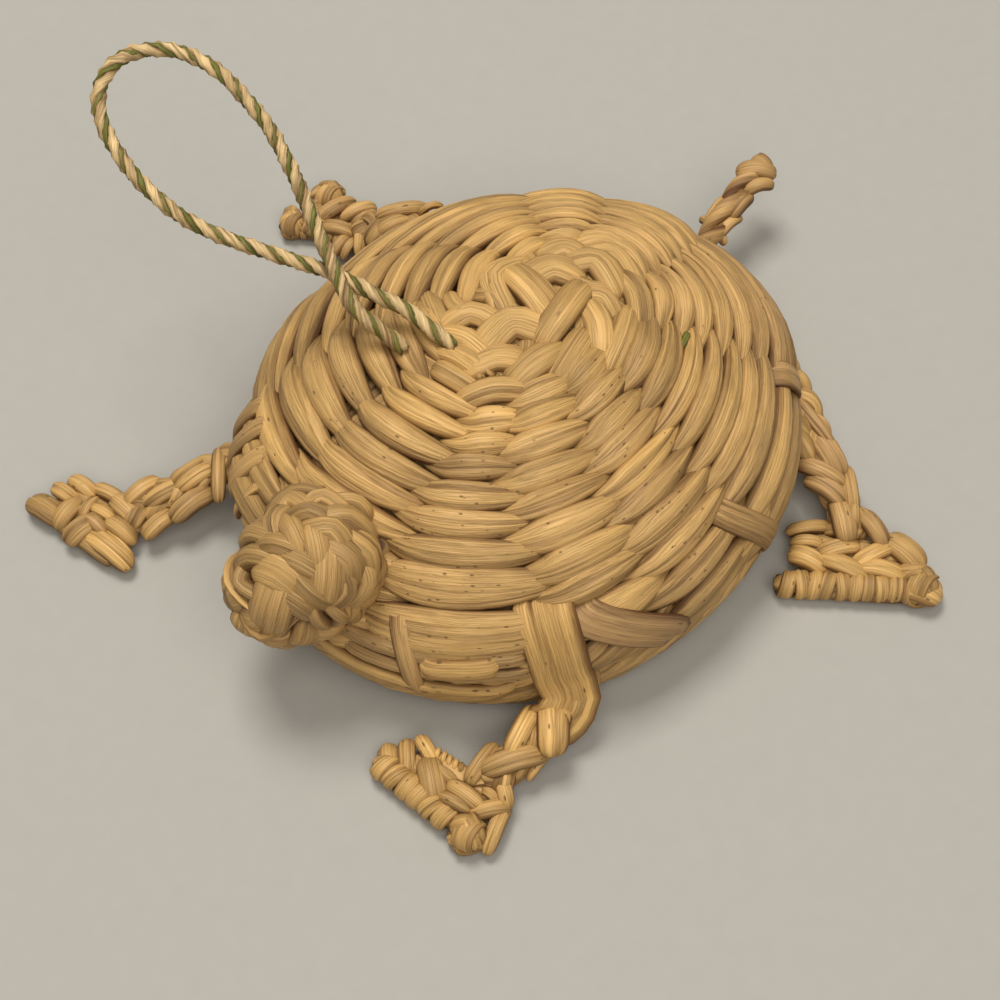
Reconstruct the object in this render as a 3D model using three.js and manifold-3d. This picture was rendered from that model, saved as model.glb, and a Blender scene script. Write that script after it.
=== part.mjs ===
// A woven straw turtle: a twined dome over a flat twined belly, with a plaited head,
// four braided legs that end in wrapped feet, a twisted tail and a stiff hanging loop.
// Millimetres, +Z up, the head towards -Y, the belly's flat underside at z = 0.

import * as THREE from 'three';
import { mergeVertices } from 'three/addons/utils/BufferGeometryUtils.js';
import Module from 'manifold-3d';

const wasm = await Module();
wasm.setup();

// ---- driving dimensions, measured from the shell's own upright axis ----
const GAP = 0.35;

const SHELL_HALF_WIDTH = 41.2;
const SHELL_HALF_LENGTH = 46.8;
const SHELL_TOP = 33;
const SHELL_WAIST = 8.5;
const SHELL_SEAM = 6.2;
const DOME_POWER = 2.3;
const TUCK = 0.965;
const WEAVE_POLE = { x: -3.1, y: 12.4 };

const SPOKES = 13;
const ROWS = 14;
const ROW_POWER = 1.35;
const STITCH_SLANT = 0.8;
const STITCH_RELIEF = 1.1;
const SAMPLES_PER_SPOKE = 4;
const SAMPLES_PER_ROW = 3;

const BELLY_HALF_WIDTH = 39.6;
const BELLY_HALF_LENGTH = 44.2;
const BELLY_TOP = SHELL_SEAM - GAP;

const HEAD = {
  centre: new THREE.Vector3(0.7, -43.4, 22.5),
  axis: new THREE.Vector3(-3.0, -23, -10),
  halfLength: 13.4,
  halfWidth: 10.4,
  relief: 1.5,
};

const TAIL_RADIUS = 2.0;
const TAIL_KNOB_RADIUS = 2.9;
const LOOP_DIAMETER = 1.8;

// A braid's strands weave across its width in a figure of eight.
const BRAID = { strands: 3, strandRadius: 1.75, sway: 1.55, lift: 0.75, period: 12, sides: 10, step: 1.3 };

// Each leg is a route from the shell's seam to its foot; each foot is a plaited plate
// from the leg's end to an outer bar that is wrapped across.
const LEGS = [
  {
    side: 'right_front',
    route: [[-27.6, -34.4, 8.6], [-29.9, -41.2, 7.8], [-31.4, -46.5, 6.2], [-32.3, -50.6, 4.9]],
    heel: [[-44.6, -57.2], [-29.4, -53.4]],
    bar: [[-46.6, -63.0], [-27.0, -60.5]],
  },
  {
    side: 'left_front',
    route: [[34.0, -16.6, 9.0], [37.2, -23.4, 7.6], [37.7, -29.5, 6.0], [37.8, -34.8, 4.9]],
    heel: [[27.0, -43.6], [40.4, -37.6]],
    bar: [[23.8, -50.6], [43.0, -49.4]],
  },
  {
    side: 'left_rear',
    route: [[18.0, 40.4, 10.0], [24.5, 38.4, 9.0], [30.2, 36.4, 7.8], [37.8, 33.4, 6.2], [43.4, 31.0, 5.0]],
    heel: [[39.0, 23.0], [53.6, 35.6]],
    bar: [[45.8, 13.8], [62.8, 31.7]],
  },
  {
    side: 'right_rear',
    route: [[-35.8, 20.6, 9.6], [-40.4, 17.6, 8.4], [-45.2, 14.4, 6.8], [-49.0, 11.8, 5.2]],
    heel: [[-54.6, 14.0], [-49.4, 5.0]],
    bar: [[-63.2, 10.8], [-60.4, 0.4]],
  },
];
const FOOT_CLEARANCE = 0.1;
const FOOT = { thickness: 4.6, barWidth: 4.4, barOverhang: 1.6, wrapPitch: 3.1 };

const TAIL_ROUTE = [[-6.0, 43.6, 9.4], [-7.4, 49.4, 9.8], [-9.0, 55.2, 11.0], [-10.0, 59.8, 11.8], [-10.6, 64.8, 12.4]];

// The loop's route: out of the weave near the shell's top, round through the air and back.
const LOOP_ROUTE = [
  [-7.9, -6.2, 33.7], [-12.3, -7.3, 35.0], [-16.5, -8.4, 36.5], [-20.4, -10.3, 37.5], [-23.9, -11.8, 38.3],
  [-26.5, -13.0, 39.0], [-28.9, -14.6, 39.8], [-32.8, -17.6, 41.2], [-37.8, -21.3, 42.9], [-43.1, -24.8, 44.9],
  [-48.9, -27.0, 47.2], [-54.8, -27.8, 49.8], [-60.5, -27.3, 52.8], [-64.7, -25.0, 55.5], [-66.2, -21.0, 57.5],
  [-64.9, -16.6, 58.5], [-61.5, -12.8, 58.4], [-56.5, -10.1, 57.2], [-50.4, -9.1, 54.8], [-45.1, -9.0, 52.3],
  [-39.8, -9.9, 49.4], [-34.9, -11.2, 46.7], [-30.0, -12.6, 43.9], [-26.2, -13.6, 41.7], [-23.0, -14.4, 39.6],
  [-20.2, -14.4, 37.7], [-17.6, -13.4, 35.8], [-15.1, -12.3, 34.0], [-12.9, -11.8, 32.7],
];

// Straws laid flat over the shell, from one (angle in degrees, row) to another.
const STRAPS = [
  { name: 'strap_left_front', from: [-33, 10.9], to: [-30, 13.2], width: 7.6, level: 1.5, colour: '#c29a5c' },
  { name: 'strap_left_side', from: [-28, 11.4], to: [-8, 13.2], width: 5.0, level: 0.5, colour: '#b08560' },
  { name: 'strap_left_middle', from: [9, 10.6], to: [20, 13.8], width: 4.6, level: 0.5, colour: '#a98256' },
  { name: 'strap_left_rear', from: [50, 11.0], to: [52, 12.7], width: 4.6, level: 0.5, colour: '#a98256' },
  { name: 'strap_by_head', from: [-66, 11.4], to: [-59, 13.8], width: 3.2, level: 0.5, colour: '#a87f50' },
];
const STRAP_THICKNESS = 0.8;

const COLOURS = {
  shell: '#c09a62', belly: '#a88352', head: '#ab8455', leg: '#b88f58', foot: '#bd925a', tail: '#bd9468', loop: '#cdb27c',
};

// ---- solids from rings and grids ----
function signedVolume(positions, index) {
  const corner = (i) => new THREE.Vector3().fromArray(positions, 3 * i);
  let total = 0;
  for (let i = 0; i < index.length; i += 3) {
    total += corner(index[i]).dot(corner(index[i + 1]).cross(corner(index[i + 2]))) / 6;
  }
  return total;
}

function solidFrom(points, index) {
  const positions = points.flatMap((p) => [p.x, p.y, p.z]);
  if (signedVolume(positions, index) < 0) index.reverse();
  const geometry = new THREE.BufferGeometry();
  geometry.setAttribute('position', new THREE.Float32BufferAttribute(positions, 3));
  geometry.setIndex(index);
  geometry.computeVertexNormals();
  return geometry;
}

// Rings of equal count, closed at each end by one middle point.
function ringSolid(rings, startPoint, endPoint) {
  const count = rings[0].length;
  const points = [startPoint, ...rings.flat(), endPoint];
  const at = (ring, i) => 1 + ring * count + (i % count);
  const last = points.length - 1;
  const index = [];
  for (let i = 0; i < count; i += 1) {
    index.push(0, at(0, i + 1), at(0, i));
    for (let ring = 0; ring + 1 < rings.length; ring += 1) {
      index.push(at(ring, i), at(ring, i + 1), at(ring + 1, i));
      index.push(at(ring, i + 1), at(ring + 1, i + 1), at(ring + 1, i));
    }
    index.push(at(rings.length - 1, i), at(rings.length - 1, i + 1), last);
  }
  return solidFrom(points, index);
}

// A plate between an upper and a lower surface, both functions of u and v in 0..1.
function plateSolid(columns, rows, upper, lower) {
  const points = [];
  for (const surface of [upper, lower]) {
    for (let j = 0; j <= rows; j += 1) {
      for (let i = 0; i <= columns; i += 1) points.push(surface(i / columns, j / rows));
    }
  }
  const layer = (columns + 1) * (rows + 1);
  const at = (side, i, j) => side * layer + j * (columns + 1) + i;
  const index = [];
  const quad = (a, b, c, d) => index.push(a, b, c, a, c, d);
  for (let j = 0; j < rows; j += 1) {
    for (let i = 0; i < columns; i += 1) {
      quad(at(0, i, j), at(0, i + 1, j), at(0, i + 1, j + 1), at(0, i, j + 1));
      quad(at(1, i, j), at(1, i, j + 1), at(1, i + 1, j + 1), at(1, i + 1, j));
    }
    quad(at(0, 0, j), at(0, 0, j + 1), at(1, 0, j + 1), at(1, 0, j));
    quad(at(0, columns, j), at(1, columns, j), at(1, columns, j + 1), at(0, columns, j + 1));
  }
  for (let i = 0; i < columns; i += 1) {
    quad(at(0, i, 0), at(1, i, 0), at(1, i + 1, 0), at(0, i + 1, 0));
    quad(at(0, i, rows), at(0, i + 1, rows), at(1, i + 1, rows), at(1, i, rows));
  }
  return solidFrom(points, index);
}

function subtract(geometry, cutter) {
  const toManifold = (source) => {
    const bare = source.clone();
    bare.deleteAttribute('normal');
    bare.deleteAttribute('uv');
    const merged = mergeVertices(bare, 1e-5);
    const vertProperties = new Float32Array(merged.attributes.position.array);
    const triVerts = new Uint32Array(merged.index.array);
    return new wasm.Manifold(new wasm.Mesh({ numProp: 3, vertProperties, triVerts }));
  };
  const mesh = toManifold(geometry).subtract(toManifold(cutter)).getMesh();
  const cut = new THREE.BufferGeometry();
  cut.setAttribute('position', new THREE.BufferAttribute(mesh.vertProperties, 3));
  cut.setIndex(new THREE.BufferAttribute(mesh.triVerts, 1));
  cut.computeVertexNormals();
  return cut;
}

// ---- the shell's surface and its stitches ----
function domeHeight(radius) {
  const fall = Math.sqrt(Math.max(0, 1 - Math.min(1, radius) ** DOME_POWER));
  return SHELL_WAIST + (SHELL_TOP - SHELL_WAIST) * fall;
}

function rowReach(row) {
  return 1 - (1 - row / ROWS) ** ROW_POWER;
}

// Rows of stitches ring the weave's pole and widen into the shell's oval.
function shellPoint(angle, row, outward = 0) {
  const reach = rowReach(Math.min(row, ROWS));
  const place = (share, lean) => {
    const x = WEAVE_POLE.x * (1 - share) + SHELL_HALF_WIDTH * share * Math.cos(angle + lean);
    const y = WEAVE_POLE.y * (1 - share) + SHELL_HALF_LENGTH * share * Math.sin(angle + lean);
    return new THREE.Vector3(x, y, domeHeight(Math.hypot(x / SHELL_HALF_WIDTH, y / SHELL_HALF_LENGTH)));
  };
  const point = place(reach, 0);
  if (outward === 0) return point;
  const inner = Math.min(reach, 0.985);
  const along = place(inner + 0.01, 0).sub(place(inner - 0.01, 0));
  const around = place(inner, 0.01).sub(place(inner, -0.01));
  return point.addScaledVector(along.cross(around).normalize(), outward);
}

function stitchRelief(spoke, row) {
  const across = spoke - Math.floor(spoke) - 0.5;
  const shifted = row + STITCH_SLANT * across;
  const between = shifted - Math.floor(shifted) - 0.5;
  const crown = Math.sqrt(Math.abs(Math.cos(Math.PI * between))) * Math.cos(Math.PI * across * 0.8);
  return -STITCH_RELIEF * (1 - crown);
}

function shellGeometry() {
  const around = SPOKES * SAMPLES_PER_SPOKE;
  const rings = [];
  for (let step = 2; step <= ROWS * SAMPLES_PER_ROW; step += 1) {
    const row = step / SAMPLES_PER_ROW;
    const ring = [];
    for (let i = 0; i < around; i += 1) {
      const angle = (2 * Math.PI * i) / around;
      ring.push(shellPoint(angle, row, stitchRelief(i / SAMPLES_PER_SPOKE, row)));
    }
    rings.push(ring);
  }
  const oval = (share, z) => Array.from({ length: around }, (unused, i) => {
    const angle = (2 * Math.PI * i) / around;
    return new THREE.Vector3(share * SHELL_HALF_WIDTH * Math.cos(angle), share * SHELL_HALF_LENGTH * Math.sin(angle), z);
  });
  rings.push(oval(TUCK, SHELL_SEAM));
  const top = new THREE.Vector3(WEAVE_POLE.x, WEAVE_POLE.y, shellPoint(0, 0).z);
  return ringSolid(rings, top, new THREE.Vector3(0, 0, SHELL_SEAM));
}

// The body's plain outline, a little larger than its stitches, which trims what meets it.
function bodyOutline(margin) {
  const around = 48;
  const rings = [];
  for (let row = 1; row <= ROWS; row += 1) {
    rings.push(Array.from({ length: around }, (unused, i) => shellPoint((2 * Math.PI * i) / around, row, margin)));
  }
  const below = -2;
  rings.push(rings.at(-1).map((p) => new THREE.Vector3(p.x, p.y, below)));
  const top = shellPoint(0, 0).add(new THREE.Vector3(0, 0, margin));
  return ringSolid(rings, top, new THREE.Vector3(0, 0, below));
}

// ---- the belly: a flat plate with a rolled rim ----
function bellyGeometry() {
  const profile = [[0, 0], [0.93, 0], [0.975, 0.9], [1, 2.6], [0.99, 4.4], [0.96, BELLY_TOP], [0, BELLY_TOP]];
  const lathe = new THREE.LatheGeometry(profile.map(([r, z]) => new THREE.Vector2(r, z)), 48);
  lathe.rotateX(Math.PI / 2);
  lathe.scale(BELLY_HALF_WIDTH, BELLY_HALF_LENGTH, 1);
  return lathe;
}

// ---- the head: an egg of fat plait strands ----
function eggGeometry(margin, relief) {
  const around = 24;
  const along = 14;
  const forward = HEAD.axis.clone().normalize();
  const side = new THREE.Vector3(0, 0, 1).cross(forward).normalize();
  const up = forward.clone().cross(side);
  const place = (turn, lean) => {
    const swell = Math.abs(Math.sin(4 * turn + 7 * lean)) * Math.abs(Math.sin(4 * turn - 7 * lean));
    const grow = margin - relief * (1 - swell) * Math.sin(lean);
    const waist = 1 + 0.1 * Math.cos(lean);
    const radius = (HEAD.halfWidth * waist + grow) * Math.sin(lean);
    return HEAD.centre.clone()
      .addScaledVector(forward, -(HEAD.halfLength + margin) * Math.cos(lean))
      .addScaledVector(side, radius * Math.cos(turn))
      .addScaledVector(up, radius * Math.sin(turn));
  };
  const rings = [];
  for (let j = 1; j < along; j += 1) {
    const lean = (Math.PI * j) / along;
    rings.push(Array.from({ length: around }, (unused, i) => place((2 * Math.PI * i) / around, lean)));
  }
  return ringSolid(rings, place(0, 0), place(0, Math.PI));
}

// ---- braids: a star-shaped section round the strands, swept along a route ----
function strandReach(strands, angle) {
  const direction = new THREE.Vector2(Math.cos(angle), Math.sin(angle));
  let reach = 0;
  for (const { centre, radius } of strands) {
    const ahead = centre.dot(direction);
    const aside = centre.cross(direction);
    const inside = radius * radius - aside * aside;
    if (inside > 0) reach = Math.max(reach, ahead + Math.sqrt(inside));
  }
  return Math.max(reach, 0.45 * strands[0].radius);
}

function sweptGeometry(route, sides, step, strandsAt) {
  const curve = new THREE.CatmullRomCurve3(route.map((p) => new THREE.Vector3(...p)));
  const length = curve.getLength();
  const count = Math.round(length / step);
  const rings = [];
  for (let k = 0; k <= count; k += 1) {
    const centre = curve.getPointAt(k / count);
    const forward = curve.getTangentAt(k / count);
    const side = new THREE.Vector3(0, 0, 1).cross(forward).normalize();
    const up = forward.clone().cross(side);
    const strands = strandsAt((k / count) * length, length);
    const ring = [];
    for (let i = 0; i < sides; i += 1) {
      const angle = (2 * Math.PI * i) / sides;
      const reach = strandReach(strands, angle);
      ring.push(centre.clone().addScaledVector(side, reach * Math.cos(angle)).addScaledVector(up, reach * Math.sin(angle)));
    }
    rings.push(ring);
  }
  return ringSolid(rings, curve.getPointAt(0), curve.getPointAt(1));
}

function legGeometry(route) {
  return sweptGeometry(route, BRAID.sides, BRAID.step, (distance) => (
    Array.from({ length: BRAID.strands }, (unused, k) => {
      const phase = 2 * Math.PI * (distance / BRAID.period + k / BRAID.strands);
      const centre = new THREE.Vector2(BRAID.sway * Math.sin(phase), BRAID.lift * Math.sin(2 * phase));
      return { centre, radius: BRAID.strandRadius };
    })
  ));
}

// Two strands twisted together, with a round knob over the end.
function tailGeometry() {
  return sweptGeometry(TAIL_ROUTE, 10, 0.8, (distance, length) => {
    const phase = (2 * Math.PI * distance) / 9;
    const fromKnob = (length - distance - TAIL_KNOB_RADIUS) / TAIL_KNOB_RADIUS;
    const knob = TAIL_KNOB_RADIUS * Math.sqrt(Math.max(0.04, 1 - fromKnob * fromKnob));
    const twist = Math.abs(fromKnob) < 1 ? 0.2 : 0.8;
    const radius = Math.abs(fromKnob) < 1 ? knob : TAIL_RADIUS;
    return [0, Math.PI].map((turn) => ({
      centre: new THREE.Vector2(twist * Math.cos(phase + turn), twist * Math.sin(phase + turn)),
      radius,
    }));
  });
}

// ---- the feet: plaited plates with a wrapped bar along the outer edge ----
function footGeometry({ heel, bar }) {
  const [heelStart, heelEnd, barStart, barEnd] = [...heel, ...bar].map(([x, y]) => new THREE.Vector2(x, y));
  const barLength = barStart.distanceTo(barEnd);
  const depth = heelStart.clone().add(heelEnd).distanceTo(barStart.clone().add(barEnd)) / 2;
  const barShare = FOOT.barWidth / depth;
  const inset = FOOT.barOverhang / barLength;
  const wraps = Math.round(barLength / FOOT.wrapPitch);
  const place = (u, v) => {
    const across = v > 1 - barShare ? u : THREE.MathUtils.lerp(inset, 1 - inset, u);
    const inner = heelStart.clone().lerp(heelEnd, across);
    return inner.lerp(barStart.clone().lerp(barEnd, across), v);
  };
  const upper = (u, v) => {
    const onBar = v > 1 - barShare;
    const row = Math.floor((3 * v) / (1 - barShare));
    const swell = Math.abs(Math.sin(Math.PI * (wraps * u + (row % 2) / 2)));
    const edge = Math.min(1, 6 * Math.min(u, 1 - u) + 0.55) * Math.min(1, 5 * Math.min(v, 1 - v) + 0.6);
    const p = place(u, v);
    return new THREE.Vector3(p.x, p.y, FOOT.thickness * (onBar ? 0.88 : 0.8) * (0.84 + 0.2 * swell) * edge);
  };
  const lower = (u, v) => {
    const p = place(u, v);
    return new THREE.Vector3(p.x, p.y, FOOT_CLEARANCE);
  };
  return plateSolid(12, 10, upper, lower);
}

// ---- straps and the hanging loop ----
function strapGeometry({ from, to, width, level }) {
  const place = (u, v, outward) => {
    const angle = THREE.MathUtils.degToRad(THREE.MathUtils.lerp(from[0], to[0], v));
    const row = THREE.MathUtils.lerp(from[1], to[1], v);
    const centre = shellPoint(angle, row, outward);
    const ahead = shellPoint(angle + 0.02 * (to[0] - from[0]) / 57, row + 0.02 * (to[1] - from[1]), outward).sub(centre);
    const out = shellPoint(angle, row, outward + 1).sub(centre).normalize();
    return centre.addScaledVector(ahead.cross(out).normalize(), (u - 0.5) * width);
  };
  const lower = (u, v) => place(u, v, level);
  const upper = (u, v) => place(u, v, level + STRAP_THICKNESS);
  return plateSolid(3, 5, upper, lower);
}

function loopGeometry() {
  const curve = new THREE.CatmullRomCurve3(LOOP_ROUTE.map((p) => new THREE.Vector3(...p)));
  const section = new THREE.Shape();
  const sides = 8;
  const radius = LOOP_DIAMETER / 2;
  for (let i = 0; i < sides; i += 1) {
    const angle = (2 * Math.PI * i) / sides;
    const corner = [radius * Math.cos(angle), radius * Math.sin(angle)];
    if (i === 0) section.moveTo(...corner);
    else section.lineTo(...corner);
  }
  return new THREE.ExtrudeGeometry(section, { steps: 54, extrudePath: curve });
}

// ---- assembly ----
function piece(name, geometry, colour, roughness = 0.75) {
  const material = new THREE.MeshStandardMaterial({ color: colour, roughness, metalness: 0 });
  const mesh = new THREE.Mesh(geometry, material);
  mesh.name = name;
  return mesh;
}

const turtle = new THREE.Group();
const body = bodyOutline(GAP);
turtle.add(piece('shell', subtract(shellGeometry(), eggGeometry(GAP, 0)), COLOURS.shell));
turtle.add(piece('belly', bellyGeometry(), COLOURS.belly));
turtle.add(piece('head', eggGeometry(0, HEAD.relief), COLOURS.head));
for (const leg of LEGS) {
  turtle.add(piece(`leg_${leg.side}`, subtract(legGeometry(leg.route), body), COLOURS.leg));
  turtle.add(piece(`foot_${leg.side}`, footGeometry(leg), COLOURS.foot));
}
turtle.add(piece('tail', subtract(tailGeometry(), body), COLOURS.tail));
for (const strap of STRAPS) turtle.add(piece(strap.name, strapGeometry(strap), strap.colour));

// The origin is under the middle of the turtle's box, which leaves the loop out.
const middle = new THREE.Box3().setFromObject(turtle, true).getCenter(new THREE.Vector3());
turtle.add(piece('hanging_loop', loopGeometry(), COLOURS.loop));
turtle.position.set(-middle.x, -middle.y, 0);

export default turtle;
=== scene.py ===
"""A small hanging ornament, a turtle twined and plaited from split straw.

Every strand is a straw blade, modelled once and laid along its own route: the stitches of the
domed shell, the knot they start from, the plaited head, the braided legs with their bound feet,
the twisted tail, the straps and the cord. Lengths are in millimetres until they are laid.
"""

import math
import random

import bmesh
import bpy
import numpy as np
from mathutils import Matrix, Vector


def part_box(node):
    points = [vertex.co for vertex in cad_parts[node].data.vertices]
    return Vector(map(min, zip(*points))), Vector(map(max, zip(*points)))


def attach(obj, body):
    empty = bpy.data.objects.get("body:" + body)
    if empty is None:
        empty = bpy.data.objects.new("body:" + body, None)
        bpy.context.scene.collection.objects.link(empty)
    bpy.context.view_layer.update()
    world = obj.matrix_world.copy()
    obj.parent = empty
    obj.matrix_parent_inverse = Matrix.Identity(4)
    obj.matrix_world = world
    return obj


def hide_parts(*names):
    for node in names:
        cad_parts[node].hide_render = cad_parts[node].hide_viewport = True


bl_info = {
    "name": "Straw Ornament",
    "version": (1, 0, 0),
    "blender": (4, 5, 0),
    "location": "View3D > Sidebar > Straw",
    "description": "Builds a twined straw turtle with its hanging cord",
    "category": "Add Mesh",
}

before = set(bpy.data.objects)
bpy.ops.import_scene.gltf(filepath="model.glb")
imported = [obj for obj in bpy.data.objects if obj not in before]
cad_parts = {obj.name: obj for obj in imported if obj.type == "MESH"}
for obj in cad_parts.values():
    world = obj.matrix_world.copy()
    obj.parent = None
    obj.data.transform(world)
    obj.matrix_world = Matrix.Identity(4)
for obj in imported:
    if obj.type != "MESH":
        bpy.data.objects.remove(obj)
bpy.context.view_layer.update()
MM = 0.001
# How many millimetres of straw its map covers, and the share of a route that gives its direction.
MAP_SIZE = 100
LOOK_AHEAD = 0.004
FULL_TURN = (0, 360)
LOW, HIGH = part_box("belly")
AXIS = np.array([(LOW.x + HIGH.x) / 2, (LOW.y + HIGH.y) / 2, 0])

# The shell: a flattened dome, with rounds of weaving that start off its middle.
SHELL_HALF_WIDTH = 41.2
SHELL_HALF_LENGTH = 46.8
SHELL_TOP = 33
SHELL_WAIST = 8.5
SHELL_INSIDE = (0, 0, 4)
SHELL_SINK = 1.1
DOME_POWER = 2.3
WEAVE_START = (-3.1, 12.4)
ROUNDS = 14
ROUND_POWER = 1.35
BELLY_HALF_WIDTH = 39.6
BELLY_HALF_LENGTH = 44.2
BELLY_TOP = 5.85
BELLY_FLOOR = 1.1
BELLY_LIFT = 2.6
BELLY_INSET = 0.975
BELLY_INSIDE = (0, 0, 12)
BELLY_COLUMNS = 13
HEAD_CENTRE = np.array([0.7, -43.4, 22.5])
HEAD_AXIS = np.array([-3.0, -23.0, -10.0])
HEAD_HALF_LENGTH = 13.4
HEAD_HALF_WIDTH = 10.4
HEAD_SINK = 1.6

# The straw blade: the faces round and along each kind, how much the rings crowd at its tips, and
# the share of the faces on its back.
BLADE_SIZES = {
    "stitch": (22, 18),
    "lump": (20, 14),
    "plain": (12, 8),
    "long": (14, 72),
    "ply": (10, 330),
    "ring": (14, 26),
}
TIP_CROWDING = 0.55
BACK_SHARE = 0.7
STRAW_ROUGHNESS = 0.52
STRAW_SHINE = 0.5

# A stitch's path: the share of its span, how far it tucks past it, the share of its column's
# climb and its height.
STITCH_PATH = [
    (0, -1, 0.62, -0.5),
    (0.04, 0, 0.42, 0.6),
    (0.3, 0, 0.1, 0.95),
    (0.62, 0, -0.22, 0.9),
    (0.96, 0, -0.44, 0.45),
    (1, 1, -0.56, -0.7),
]

# The twisted edge of the shell: its turns, and each one's angle, round and height along it.
EDGE_TURNS = 26
EDGE_PATH = [(-3, 13.9, -1.0), (2, 13.75, 0.2), (7, 13.3, 0.7), (12, 12.9, 0.2), (15, 12.7, -0.8)]

# The slanting turns at a rim: their number in a round, the angles along one, and then for the
# shell and the underside the heights and how far out it stands.
RIM_TURNS = 34
TURN_ANGLES = (-4, 1, 7, 12, 15)
SHELL_RIM = ((4.4, 5.4, 7.0, 8.4, 9.4), (-2.0, -1.2, -0.9, -1.1, -1.8))
BELLY_RIM = ((1.4, 1.9, 3.4, 4.6, 5.0), (-1.4, -0.6, -0.3, -0.7, -1.6))

# The columns of stitches: the angle where each starts at round 3 and at round 11, the rounds
# that its stitches lie on, how many rounds a stitch rises from start to end, near the middle
# and near the rim, and its shade, warmth and specks.
COLUMNS = [
    ((-116, -106), (4.9, 5.6, 6.5, 7.5, 8.4, 9.4, 10.5, 11.6, 12.8), (0.9, 1.1), 0.62, 0.1, 0.2),
    ((-76, -72), (4.5, 5.3, 6.15, 7.05, 7.95, 9, 10.1, 11.75), (0.8, 0.5), 0.5, 0.12, 0.8),
    ((-61, -31), (3.2, 4, 5, 6.05, 7, 8.05, 9.3, 10.25, 11.6), (0.9, 0.6), 0.55, 0.05, 0.25),
    ((-27, -10), (2.75, 3.75, 4.95, 5.85, 7, 8.05, 9.3, 10.4, 11.9, 13.2), (0.8, 0.7), 0.45, 0.15, 0.8),
    ((5, 14), (3.75, 4.9, 6, 7.1, 8.2, 9.3, 10.4, 11.9, 13.2), (0.4, 0.7), 0.5, 0.08, 0.1),
    ((51, 53), (4.4, 5.4, 6.5, 7.7, 8.9, 10.1, 11.4, 12.8), (-0.4, -0.4), 0.5, 0.25, 0.3),
    ((82, 97), (4.7, 5.7, 6.8, 7.9, 9.1, 10.3, 11.5, 12.8), (-0.6, -1), 0.5, 0.15, 0.1),
    ((122, 123), (4.7, 5.7, 6.9, 8, 9.2, 10.4, 11.6, 12.9), (0.0, 0.0), 0.55, 0.05, 0.0),
    ((146, 143), (4, 5.1, 6.2, 7.3, 8.5, 9.7, 11, 12.4), (0.8, 1), 0.6, 0.05, 0.0),
    ((166, 190), (4.1, 5.1, 6.1, 7.2, 8.3, 9.4, 10.6, 11.8, 13), (1, 1.4), 0.55, 0.05, 0.05),
    ((205, 222), (4.6, 5.6, 6.6, 7.6, 8.6, 9.7, 10.9, 12.1, 13.2), (1.2, 1.6), 0.5, 0.1, 0.4),
]

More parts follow.
